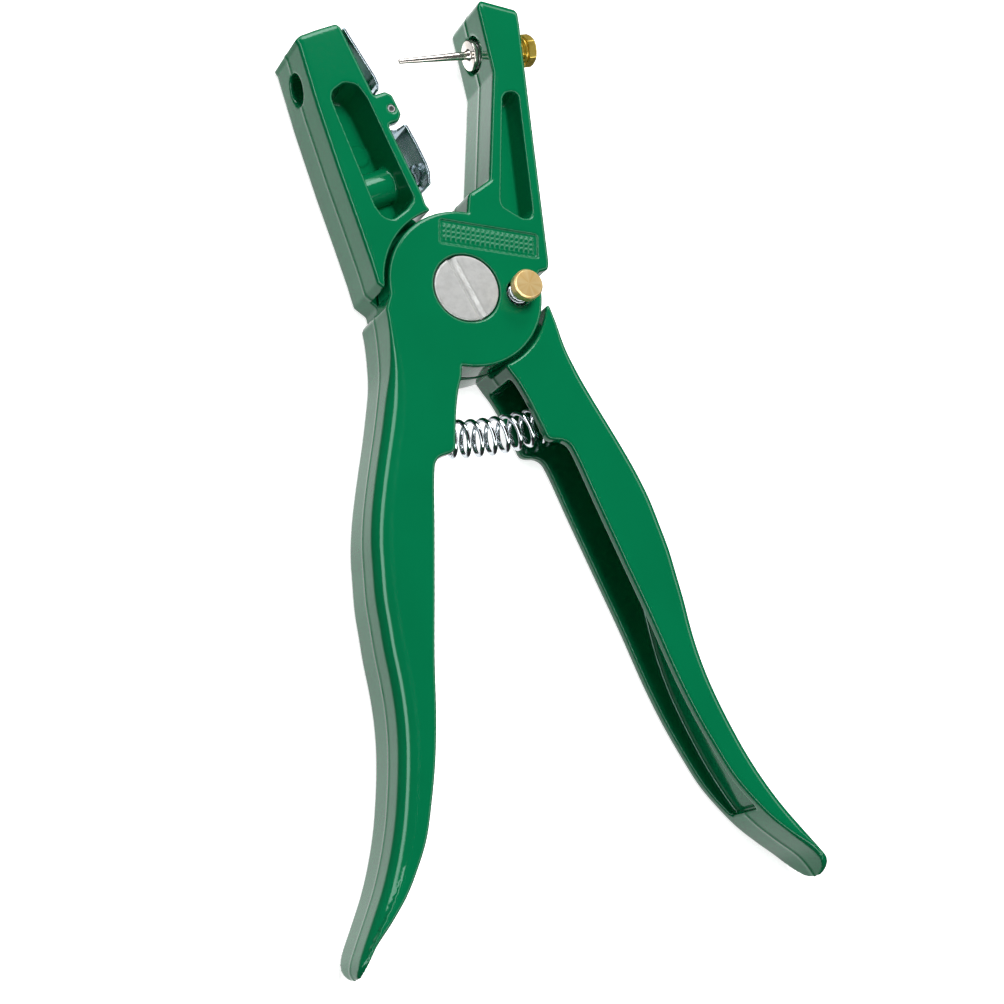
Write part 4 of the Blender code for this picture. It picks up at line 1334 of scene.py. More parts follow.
@dataclass
class PinLever(Casting):
    """The front lever: pin jaw, front half of the hub and left handle."""

    node: str = "pin_lever"
    start_shares: tuple[float, float] = (0.357, 0.020)
    jaw_shares: Points = (
        (0.650, 0.032), (0.724, 0.037), (0.745, 0.059), (0.869, 0.491), (0.994, 0.916),
        (1.000, 0.953), (0.976, 0.979), (0.866, 0.997), (0.730, 1.012), (0.688, 1.007),
        (0.653, 0.985), (0.653, 0.7465), (0.402, 0.367), (0.285, 0.3405), (0.204, 0.324),
        (0.186, 0.309),
    )
    pocket_shares: Points = (
        (0.682, 0.651), (0.721, 0.668), (0.795, 0.670), (0.825, 0.656), (0.706, 0.246),
        (0.668, 0.219), (0.602, 0.222), (0.466, 0.266), (0.454, 0.285),
    )
    top_shares: Points = ((0.976, 0.979), (0.730, 1.012))
    top_fillet: float = 3.0 * MM
    jaw_fillet: float = 1.0 * MM
    jaw_corner: float = 1.2 * MM
    pocket_corner: float = 1.8 * MM
    pocket_depth: float = 7.5 * MM
    hub_from: float = 76.2
    hub_to: float = 178.5
    last_from: float = 253.7
    last_to: float = 365.0
    spot_radius: float = 5.0 * MM
    spot_root: float = 3.0 * MM
    spot_rim: float = 0.5 * MM
    bolt_bore: float = 2.95 * MM
    bolt_rim: float = 0.3 * MM
    head_bore: float = 9.15 * MM
    head_floor: float = 16.7 * MM
    head_rim: float = 0.35 * MM
    lock_well: float = 3.4 * MM
    lock_well_floor: float = 17.0 * MM
    lock_rim: float = 0.3 * MM
    lock_bore: float = 2.3 * MM
    lock_recess: float = 4.3 * MM
    lock_recess_depth: float = 3.55 * MM
    panel: Panel = Panel()

    def outline(self) -> tuple[Runs, Array]:
        """The outline's stretches with their edge radii, and the handle's line.

        Returns:
            The stretches, and the handle's line.
        """
        jaw = scaled(self.jaw_shares, self.high.x, self.high.y)
        handle = self.handle_line(-1, self.start_shares, 0)
        runs = [
            (round_corners(jaw, self.jaw_corner, closed=False), self.jaw_fillet),
            (arc_points(self.hub_radius, self.hub_from, self.hub_to), self.edge_fillet),
            *self.handle_runs(handle),
            (arc_points(self.hub_radius, self.last_from, self.last_to), self.edge_fillet),
        ]
        return runs, handle

    def top_edge(self) -> Array:
        """The wide rounding between the jaw's end face and its front face.

        Returns:
            The field that the casting stays inside.
        """
        start, end = scaled(self.top_shares, self.high.x, self.high.y)
        along = (end - start) / np.linalg.norm(end - start)
        beyond = (self.x - start[0]) * along[1] - (self.y - start[1]) * along[0]
        return round_cross(beyond, self.z - self.thickness, self.top_fillet)

    def panel_cut(self, body: Array) -> Array:
        """Sink the panel's flat floor.

        Args:
            body: The casting's field.

        Returns:
            The field with the panel sunk.
        """
        turn = math.radians(self.panel.turn)
        dx, dy = self.x - self.panel.centre[0], self.y - self.panel.centre[1]
        along = dx * math.cos(turn) + dy * math.sin(turn)
        across = dy * math.cos(turn) - dx * math.sin(turn)
        plan = round_cross(np.abs(along) - self.panel.long / 2,
                           np.abs(across) - self.panel.tall / 2, self.panel.corner)
        floor = self.thickness - self.panel.depth
        return round_cut(body, np.maximum(plan, floor - self.z), self.panel.rim)

    def build(self, axis: PinAxis, bow: Bow, lock: Vector) -> Piece:
        """Work out the whole lever and draw it.

        Args:
            axis: The pin's axis, for its seat.
            bow: The return spring's line, for its peg.
            lock: The lock button's place.

        Returns:
            The finished piece.
        """
        runs, handle = self.outline()
        body = np.maximum(self.dome_tip(self.body_field(runs), handle), self.top_edge())
        pocket = round_corners(scaled(self.pocket_shares, self.high.x, self.high.y),
                               self.pocket_corner, closed=True, steps=self.corner_steps)
        floor = self.thickness - self.pocket_depth
        body = round_cut(body, self.pocket_field(pocket, self.thickness, floor), self.pocket_rim)
        body = round_cut(body, self.pocket_field(pocket, 0, self.pocket_depth), self.pocket_rim)
        body = round_cut(body, self.channel_field(handle, -1), self.channel_rim)
        body = round_join(body, self.peg_field(bow, -1), self.peg_fillet)
        seam = (self.thickness + self.seam) / 2
        lap = np.maximum(self.from_pivot - self.hub_radius - self.hub_run, self.z - seam)
        body = round_cut(body, lap, self.lap_rim)
        body = np.maximum(body, -self.bore_field(0, 0, self.screw_bore, 0, self.thickness))
        head = self.bore_field(0, 0, self.head_bore, self.head_floor, 1)
        body = round_cut(body, head, self.head_rim)
        well = self.bore_field(lock.x, lock.y, self.lock_well, self.lock_well_floor, 1)
        body = round_cut(body, well, self.lock_rim)
        body = np.maximum(body, -self.bore_field(lock.x, lock.y, self.lock_bore, 0, 1))
        recess = self.bore_field(lock.x, lock.y, self.lock_recess, 0,
                                 seam + self.lock_recess_depth)
        body = np.maximum(body, -recess)
        spot = self.rod_field(axis.tip, axis.along, self.spot_radius,
                              axis.length - self.spot_root, axis.back - axis.gap)
        body = round_cut(body, spot, self.spot_rim)
        bolt = self.rod_field(axis.tip, axis.along, self.bolt_bore, axis.back - axis.gap, 1)
        body = round_cut(body, bolt, self.bolt_rim)
        return self.finish(self.panel_cut(body))


@dataclass
class JawFace:
    """The tag jaw's inner face: heights run up along it and stands straight off it."""

    top_shares: tuple[float, float] = (0.570, 0.985)
    foot_shares: tuple[float, float] = (0.1905, 0.350)

    def __post_init__(self) -> None:
        """Place the face from the tag lever's box."""
        low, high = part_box("tag_lever")
        reach = np.array([low.x, high.y])
        self.foot = np.array(self.foot_shares) * reach
        run = np.array(self.top_shares) * reach - self.foot
        self.length = float(np.linalg.norm(run))
        self.up = run / self.length
        self.out = np.array([self.up[1], -self.up[0]])

    def at(self, height: float, stand: float) -> Array:
        """A plan point at a height and a stand-off."""
        return self.foot + self.up * height + self.out * stand

    def spots(self, pairs: list[tuple[float, float]]) -> Array:
        """Plan points from pairs of height and stand-off."""
        return np.array([self.at(height, stand) for height, stand in pairs])

    def heights(self, x: Array, y: Array) -> tuple[Array, Array]:
        """The height and stand-off of plan points."""
        dx, dy = x - self.foot[0], y - self.foot[1]
        return dx * self.up[0] + dy * self.up[1], dx * self.out[0] + dy * self.out[1]


@dataclass
class TagLever(Casting):
    """The rear lever: tag jaw with its lugs and boss, rear half of the hub, right handle."""

    node: str = "tag_lever"
    tip_stretch: tuple[float, float] = (0.022, 0.010)
    handle_fillet: float = 2.6 * MM
    start_shares: tuple[float, float] = (0.352, 0.040)
    side_shares: Points = (
        (0.759, 0.046), (0.775, 0.128), (0.816, 0.271), (0.873, 0.455), (0.937, 0.701),
        (0.978, 0.925), (1.000, 0.942), (0.946, 0.960), (0.787, 0.981), (0.610, 1.000),
        (0.570, 0.985),
    )
    foot_shares: tuple[float, float] = (0.181, 0.313)
    pocket_shares: Points = (
        (0.654, 0.778), (0.775, 0.747), (0.797, 0.718), (0.629, 0.321), (0.581, 0.280),
        (0.502, 0.266), (0.359, 0.302), (0.277, 0.337), (0.295, 0.367), (0.486, 0.712),
        (0.546, 0.765),
    )
    side_corner: float = 0.8 * MM
    face_corner: float = 1.0 * MM
    pocket_corner: float = 2.8 * MM
    jaw_fillet: float = 1.2 * MM
    pocket_depth: float = 11.5 * MM
    back_depth: float = 4.0 * MM
    hub_from: float = 101.0
    hub_to: float = -17.5
    last_from: float = -75.5
    last_to: float = -181.5
    lug_foot: float = 20.2 * MM
    lug_top: float = 29.1 * MM
    lug_stand: float = 4.8 * MM
    lug_corner: float = 1.6 * MM
    lug_thickness: float = 3.5 * MM
    lug_gap_from: float = 0.03 * MM
    lug_gap_reach: float = 8.0 * MM
    lug_gap_rim: float = 0.4 * MM
    hinge_height: float = 24.0 * MM
    hinge_stand: float = 2.6 * MM
    hinge_bore: float = 1.1 * MM
    hinge_rim: float = 0.1 * MM
    spring_height: float = 7.7 * MM
    boss_radius: float = 4.75 * MM
    boss_fillet: float = 0.6 * MM
    spring_bore: float = 3.3 * MM
    spring_bore_depth: float = 7.0 * MM
    spring_rim: float = 0.3 * MM
    exit_shares: tuple[float, float] = (0.958, 0.811)
    exit_slope: float = 28.1
    exit_radius: float = 3.9 * MM
    exit_rim: float = 0.4 * MM
    mark_height: float = 17.8 * MM
    mark_stand: float = -6.4 * MM
    mark_radius: float = 2.9 * MM
    mark_relief: float = 0.6 * MM
    mark_fillet: float = 0.3 * MM
    nut_bore: float = 8.3 * MM
    nut_depth: float = 3.5 * MM
    nut_rim: float = 0.3 * MM
    lock_hole: float = 2.4 * MM
    lock_hole_depth: float = 1.6 * MM
    lock_rim: float = 0.2 * MM
    closed_turn: float = 25.0

    def outline(self, face: JawFace) -> tuple[Runs, Array]:
        """The outline's stretches with their edge radii, and the handle's line.

        Args:
            face: The jaw's inner face.

        Returns:
            The stretches, and the handle's line.
        """
        handle = self.handle_line(1, self.start_shares, 1)
        side = scaled(self.side_shares, self.low.x, self.high.y)
        lug = face.spots([
            (self.lug_top, 0), (self.lug_top, self.lug_stand - self.lug_corner),
            (self.lug_top - self.lug_corner, self.lug_stand),
            (self.lug_foot + self.lug_corner, self.lug_stand),
            (self.lug_foot, self.lug_stand - self.lug_corner), (self.lug_foot, 0), (0, 0)])
        foot = scaled((self.foot_shares,), self.low.x, self.high.y)
        hub = arc_points(self.hub_radius, self.hub_from, self.hub_to)
        jaw = round_corners(np.vstack([lug, foot, hub[:1]]), self.face_corner, closed=False)
        runs = [
            *self.handle_runs(handle),
            (arc_points(self.hub_radius, self.last_from, self.last_to), self.edge_fillet),
            (round_corners(side, self.side_corner, closed=False), self.jaw_fillet),
            (jaw[:-1], self.edge_fillet),
            (hub, self.edge_fillet),
        ]
        return runs, handle

    def build(self, face: JawFace, bow: Bow, lock: Vector) -> Piece:
        """Work out the whole lever and draw it.

        Args:
            face: The jaw's inner face.
            bow: The return spring's line, for its peg.
            lock: The lock button's place, for the holes that it drops into.

        Returns:
            The finished piece.
        """
        runs, handle = self.outline(face)
        body = self.dome_tip(self.body_field(runs), handle)
        height, stand = face.heights(self.x, self.y)
        gap = np.maximum(np.abs(self.z - self.middle) - (self.middle - self.lug_thickness),
                         self.lug_gap_from - stand)
        middle = (self.lug_foot + self.lug_top) / 2
        gap = np.maximum(gap, np.abs(height - middle) - self.lug_gap_reach)
        body = round_cut(body, gap, self.lug_gap_rim)
        hinge = face.at(self.hinge_height, self.hinge_stand)
        body = round_cut(body, self.bore_field(*hinge, self.hinge_bore, -1, 1), self.hinge_rim)
        pocket = round_corners(scaled(self.pocket_shares, self.low.x, self.high.y),
                               self.pocket_corner, closed=True, steps=self.corner_steps)
        floor = self.thickness - self.pocket_depth
        space = self.pocket_field(pocket, self.thickness, floor)
        space = self.boss_cut(face, space)
        space = self.mark_cut(face, space, floor)
        body = round_cut(body, space, self.pocket_rim)
        body = round_cut(body, self.pocket_field(pocket, 0, self.back_depth), self.pocket_rim)
        foot = Vector((*face.at(self.spring_height, 0), self.middle))
        out = Vector((*face.out, 0))
        body = round_cut(body, self.rod_field(foot, out, self.spring_bore,
                                              -self.spring_bore_depth, 1), self.spring_rim)
        body = round_cut(body, self.channel_field(handle, 1), self.channel_rim)
        body = round_join(body, self.peg_field(bow, 1), self.peg_fillet)
        seam = (self.thickness - self.seam) / 2
        lap = np.maximum(self.from_pivot - self.hub_radius - self.hub_run, seam - self.z)
        body = round_cut(body, lap, self.lap_rim)
        body = np.maximum(body, -self.bore_field(0, 0, self.screw_bore, -1, 1))
        body = round_cut(body, self.bore_field(0, 0, self.nut_bore, -1, self.nut_depth),
                         self.nut_rim)
        for turn in np.radians((0, self.closed_turn)):
            spot = Matrix.Rotation(turn, 3, "Z") @ lock
            hole = self.bore_field(spot.x, spot.y, self.lock_hole,
                                   seam - self.lock_hole_depth, 1)
            body = round_cut(body, hole, self.lock_rim)
        slope = math.radians(self.exit_slope)
        mouth = Vector((self.exit_shares[0] * self.low.x, self.exit_shares[1] * self.high.y, 0))
        along = Vector((math.cos(slope), math.sin(slope), 0))
        exit_bore = self.rod_field(mouth, along, self.exit_radius, -1, 1)
        return self.finish(round_cut(body, exit_bore, self.exit_rim))

    def boss_cut(self, face: JawFace, space: Array) -> Array:
        """Keep the clip spring's round boss out of the pocket's space.

        Args:
            face: The jaw's inner face.
            space: The pocket's field.

        Returns:
            The pocket's field without the boss.
        """
        foot = Vector((*face.at(self.spring_height, 0), self.middle))
        out = Vector((*face.out, 0))
        boss = self.rod_field(foot, out, self.boss_radius, -1, 1)
        return round_cut(space, boss, self.boss_fillet)

    def mark_cut(self, face: JawFace, space: Array, floor: float) -> Array:
        """Keep a low round pad on the pocket's floor out of its space.

        Args:
            face: The jaw's inner face.
            space: The pocket's field.
            floor: The height of the pocket's floor.

        Returns:
            The pocket's field without the pad.
        """
        x, y = face.at(self.mark_height, self.mark_stand)
        pad = self.bore_field(x, y, self.mark_radius, -1, floor + self.mark_relief)
        return round_cut(space, pad, self.mark_fillet)


# Fittings

@dataclass
class Pivot:
    """The slotted screw in front, its nut in the back and the washer in the seam."""

    thickness: float = 20.0 * MM
    sink: float = 0.2 * MM
    head_radius: float = 8.8 * MM
    head: float = 2.8 * MM
    head_edge: float = 0.45 * MM
    shoulder_radius: float = 5.0 * MM
    shoulder_lap: float = 1.0 * MM
    shoulder_foot: float = 3.5 * MM
    neck_fillet: float = 0.2 * MM
    thread_radius: float = 3.6 * MM
    thread_top: float = 4.0 * MM
    thread_edge: float = 0.4 * MM
    slot_width: float = 2.5 * MM
    slot_slope: float = 0.8
    slot_depth: float = 1.3 * MM
    slot_turn: float = -72.7
    slot_fillet: float = 0.2 * MM
    slot_rim: float = 0.22 * MM
    nut_radius: float = 8.0 * MM
    nut_height: float = 3.2 * MM
    nut_thread: float = 3.9 * MM
    nut_floor: float = 0.9 * MM
    nut_edge: float = 0.35 * MM
    washer_radius: float = 11.0 * MM
    washer_bore: float = 5.3 * MM
    washer_edge: float = 0.15 * MM
    thread_foot: float = 1.2 * MM
    cell: float = 0.16 * MM
    quick_cell: float = 0.3 * MM

    def screw(self) -> Piece:
        """The screw as a field: head with a worn round edge, slot, shoulder and thread."""
        low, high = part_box("pivot_screw")
        lattice = Lattice(low, high, self.cell)
        x, y, z = lattice.grids()
        away = np.hypot(x, y)
        top = self.thickness - self.sink
        under = top - self.head
        head = round_cross(away - self.head_radius, np.maximum(z - top, under - z),
                           self.head_edge)
        shoulder = np.maximum(away - self.shoulder_radius,
                              np.maximum(z - under - self.shoulder_lap,
                                         self.shoulder_foot - z))
        thread = round_cross(away - self.thread_radius,
                             np.maximum(z - self.thread_top, self.thread_foot - z),
                             self.thread_edge)
        body = round_join(head, shoulder, self.neck_fillet)
        body = np.minimum(body, thread)
        turn = math.radians(self.slot_turn)
        aside = np.abs(y * math.cos(turn) - x * math.sin(turn)) - self.slot_width / 2
        aside = (aside + self.slot_slope * (top - z)) / math.hypot(1, self.slot_slope)
        slot = round_cross(aside, top - self.slot_depth - z, self.slot_fillet)
        return skin("screw", round_cut(body, slot, self.slot_rim), lattice)

    def nut(self) -> Piece:
        """The round blind nut."""
        corners = ((0, 0), (self.nut_radius, 0), (self.nut_radius, self.nut_height),
                   (self.nut_thread, self.nut_height), (self.nut_thread, self.nut_floor),
                   (0, self.nut_floor))
        return spun("nut", soft_profile(corners, self.nut_edge), Matrix.Identity(4))

    def washer(self) -> Piece:
        """The thin washer."""
        low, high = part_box("pivot_washer")
        corners = np.array([(self.washer_bore, low.z), (self.washer_radius, low.z),
                            (self.washer_radius, high.z), (self.washer_bore, high.z)])
        profile = round_corners(corners, self.washer_edge, closed=True, steps=3)
        return spun("washer", profile, Matrix.Identity(4))

    def build(self) -> None:
        """Make and dress the three pieces."""
        dress(self.screw(), SCREW_ZINC.material("screw_zinc"), Body.PIN_SIDE, Slot.ZINC,
              "pivot_screw")
        satin = SMALL_ZINC.material("nut_zinc")
        dress(self.nut(), satin, Body.PIN_SIDE, Slot.ZINC, "pivot_nut")
        dress(self.washer(), satin, Body.PIN_SIDE, Slot.ZINC, "pivot_washer")


@dataclass
class Piercer:
    """The piercing pin, its collar and its hex bolt."""

    axis: PinAxis
    radius: float = 1.15 * MM
    tip_radius: float = 0.65 * MM
    tip_height: float = 0.12 * MM
    tip_growth: float = 1.05
    point: float = 0.9 * MM
    taper_share: float = 0.85
    root: float = 0.9 * MM
    root_growth: float = 1.5
    pin_edge: float = 0.3 * MM
    flange_radius: float = 4.1 * MM
    shank_radius: float = 1.5 * MM
    shank: float = 5.5 * MM
    collar_radius: float = 3.7 * MM
    collar_bore: float = 1.8 * MM
    collar_edge: float = 0.2 * MM
    groove: float = 0.4 * MM
    groove_depth: float = 0.5 * MM
    neck: float = 11.0 * MM
    neck_radius: float = 2.65 * MM
    thread_pitch: float = 0.8 * MM
    thread_depth: float = 0.22 * MM
    head: float = 3.1 * MM
    washer: float = 0.6 * MM
    washer_radius: float = 3.7 * MM
    relief: float = 0.15 * MM
    flats: float = 8.0 * MM
    hex_turn: float = -10.3
    corner_cut: float = 0.12 * MM
    hex_corner: float = 0.2 * MM
    hex_edge: float = 0.15 * MM
    chamfer: float = 0.5 * MM
    chamfer_lean: float = 0.8
    washer_edge: float = 0.35 * MM
    stem_inset: float = 0.7 * MM
    neck_lap: float = 0.5 * MM
    neck_fillet: float = 0.2 * MM
    socket_gap: float = 0.3 * MM
    socket_depth: float = 4.0 * MM
    socket_rim: float = 0.1 * MM
    cell: float = 0.13 * MM
    quick_cell: float = 0.25 * MM

    def pin(self) -> Piece:
        """The pin: a blunt taper, a flange with a domed rim and a shank."""
        end = self.axis.length + self.axis.flange
        corners = ((0, 0), (self.tip_radius, self.tip_height),
                   (self.tip_radius * self.tip_growth, self.point),
                   (self.radius, self.axis.length * self.taper_share),
                   (self.radius, self.axis.length - self.root),
                   (self.radius * self.root_growth, self.axis.length),
                   (self.flange_radius, self.axis.length), (self.flange_radius, end),
                   (self.shank_radius, end), (self.shank_radius, end + self.shank),
                   (0, end + self.shank))
        return spun("pin", soft_profile(corners, self.pin_edge), self.axis.place)

    def collar(self) -> Piece:
        """The collar behind the flange, with a turned groove."""
        low = self.axis.length + self.axis.flange + self.axis.gap
        high = low + self.axis.collar
        middle = (low + high) / 2
        rim, floor = self.collar_radius, self.collar_radius - self.groove_depth
        corners = np.array([(self.collar_bore, low), (rim, low), (rim, middle - self.groove),
                            (floor, middle - self.groove / 2),
                            (floor, middle + self.groove / 2), (rim, middle + self.groove),
                            (rim, high), (self.collar_bore, high)])
        return spun("collar", round_corners(corners, self.collar_edge, closed=True, steps=3),
                    self.axis.place)

    def bolt(self) -> Piece:
        """The bolt as a field: a hex with a chamfer at both ends and a rolled thread."""
        start = self.axis.back
        head = start + self.neck
        reach = self.flats / math.sqrt(3)
        lattice = Lattice(Vector((-reach, -reach, start)),
                          Vector((reach, reach, head + self.head)),
                          self.cell)
        x, y, z = lattice.grids()
        away = np.hypot(x, y)
        hex_side = -np.inf
        for turn in np.radians(self.hex_turn + FLAT_TURNS):
            flat = np.abs(x * math.cos(turn) + y * math.sin(turn)) - self.flats / 2
            hex_side = (flat if np.isscalar(hex_side)
                        else round_cross(hex_side, flat, self.hex_corner))
        foot = head + self.washer + self.relief
        top = head + self.head
        ends = np.maximum(foot - z, z - top)
        cone = away - reach + self.corner_cut + np.maximum(z - top + self.chamfer, 0)
        hexagon = round_cross(round_cross(hex_side, ends, self.hex_edge),
                              cone * self.chamfer_lean, self.hex_edge)
        washer = round_cross(away - self.washer_radius,
                             np.maximum(head - z, z - foot + self.relief),
                             self.washer_edge)
        stem = np.maximum(away - self.flats / 2 + self.stem_inset,
                          np.maximum(head - z, z - top))
        hexagon = np.minimum(np.minimum(hexagon, washer), stem)
        turn = np.arctan2(y, x) / (2 * np.pi)
        wave = 0.5 + 0.5 * np.cos(2 * np.pi * (z / self.thread_pitch - turn))
        neck = np.maximum(away - self.neck_radius + self.thread_depth * wave,
                          np.maximum(start - z, z - head - self.neck_lap))
        socket = np.maximum(away - self.shank_radius - self.socket_gap,
                            z - start - self.socket_depth)
        body = round_cut(round_join(hexagon, neck, self.neck_fillet), socket, self.socket_rim)
        piece = skin("hex_bolt", body, lattice)
        piece.data.transform(self.axis.place)
        return piece

    def build(self) -> None:
        """Make and dress the three pieces."""
        dress(self.pin(), PIN_NICKEL.material("pin_nickel"), Body.PIN_SIDE, Slot.NICKEL,
              "piercing_pin")
        dress(self.collar(), SMALL_ZINC.material("collar_zinc"), Body.PIN_SIDE, Slot.ZINC,
              "pin_collar")
        dress(self.bolt(), BOLT_YELLOW.material("bolt_yellow"), Body.PIN_SIDE, Slot.BOLT,
              "pin_bolt")


@dataclass
class Lock:
    """The lock button: knob, stem, retaining ring and spring, on an axis along Z."""

    pivot_radius: float = 14.4 * MM
    turn: float = -10.0
    knob_radius: float = 4.0 * MM
    knob_bore: float = 2.3 * MM
    knob_chamfer: float = 0.5 * MM
    knob_chamfer_height: float = 0.55 * MM
    knob_edge: float = 0.25 * MM
    step_radius: float = 3.2 * MM
    step: float = 1.0 * MM
    stem_radius: float = 2.0 * MM
    stem_edge: float = 0.2 * MM
    groove: float = 0.4 * MM
    clearance: float = 0.3 * MM
    ring_radius: float = 3.9 * MM
    ring_edge: float = 0.15 * MM
    wire_radius: float = 0.3 * MM
    turns: int = 4
    steps: int = 36

    def __post_init__(self) -> None:
        """Place the axis."""
        turn = math.radians(self.turn)
        self.centre = Vector((self.pivot_radius * math.cos(turn),
                              self.pivot_radius * math.sin(turn), 0))
        self.place = Matrix.Translation(self.centre)

    def knob(self) -> Piece:
        """The turned knob, with a small chamfer and a shallow groove under its head."""
        low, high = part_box("lock_knob")
        corners = ((0, high.z - self.step), (self.knob_bore, high.z - self.step),
                   (self.knob_bore, low.z), (self.step_radius, low.z),
                   (self.step_radius, low.z + self.step),
                   (self.knob_radius, low.z + self.step),
                   (self.knob_radius, high.z - self.knob_chamfer_height),
                   (self.knob_radius - self.knob_chamfer, high.z), (0, high.z))
        return spun("knob", soft_profile(corners, self.knob_edge), self.place)

    def stem(self) -> Piece:
        """The stem with the groove that holds the ring."""
        low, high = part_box("lock_stem")
        ring_low, ring_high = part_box("lock_ring")
        neck = self.stem_radius - self.groove
        foot, top = ring_low.z - self.clearance, ring_high.z + self.clearance
        corners = ((0, low.z), (self.stem_radius, low.z), (self.stem_radius, foot),
                   (neck, foot), (neck, top), (self.stem_radius, top),
                   (self.stem_radius, high.z), (0, high.z))
        return spun("stem", soft_profile(corners, self.stem_edge), self.place)

    def ring(self) -> Piece:
        """The retaining ring."""
        low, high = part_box("lock_ring")
        inner = self.stem_radius - self.groove + self.clearance
        corners = np.array([(inner, low.z), (self.ring_radius, low.z),
                            (self.ring_radius, high.z), (inner, high.z)])
        profile = round_corners(corners, self.ring_edge, closed=True, steps=3)
        return spun("retaining_ring", profile, self.place)

    def spring(self) -> Piece:
        """The spring round the stem."""
        low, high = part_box("lock_spring")
        radius = self.stem_radius + self.clearance + self.wire_radius
        path = coil(radius, self.turns, low.z + self.wire_radius, high.z - self.wire_radius,
                    self.steps)
        return wire("lock_coil", moved(path, self.place), self.wire_radius, THIN_WIRE_SIDES)

    def build(self) -> None:
        """Make and dress the four pieces, and bake the spring's place into its mesh."""
        brass = TurnedBrass().material("knob_brass", self.centre)
        dress(self.knob(), brass, Body.LOCK, Slot.KNOB, "lock_knob")
        satin = SMALL_ZINC.material("lock_zinc")
        dress(self.stem(), satin, Body.LOCK, Slot.ZINC, "lock_stem")
        dress(self.ring(), satin, Body.LOCK, Slot.ZINC, "lock_ring")
        coil_piece = dress(self.spring(), WIRE_ZINC.material("lock_wire"), None, Slot.SPRING,
                           "lock_spring")
        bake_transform(coil_piece)


def coil(radius: float, turns: float, low: float, high: float, steps: int) -> Array:
    """A helix about Z with a closed turn at each end.

    The height follows the turn through a smooth step, so the wire lies nearly flat at
    both ends and climbs evenly between them.

    Args:
        radius: The helix's radius.
        turns: How many turns it has.
        low: The first point's height.
        high: The last point's height.
        steps: How many points a turn has.

    Returns:
        The points.
    """
    share = np.linspace(0, 1, round(turns * steps) + 1)
    flat = END_TURN_SHARE / turns
    rise = np.clip((share - flat) / (1 - 2 * flat), 0, 1)
    height = low + (high - low) * (END_RISE_SHARE * share + (1 - END_RISE_SHARE) * rise)
    angle = 2 * np.pi * turns * share
    return np.column_stack([radius * np.cos(angle), radius * np.sin(angle), height])


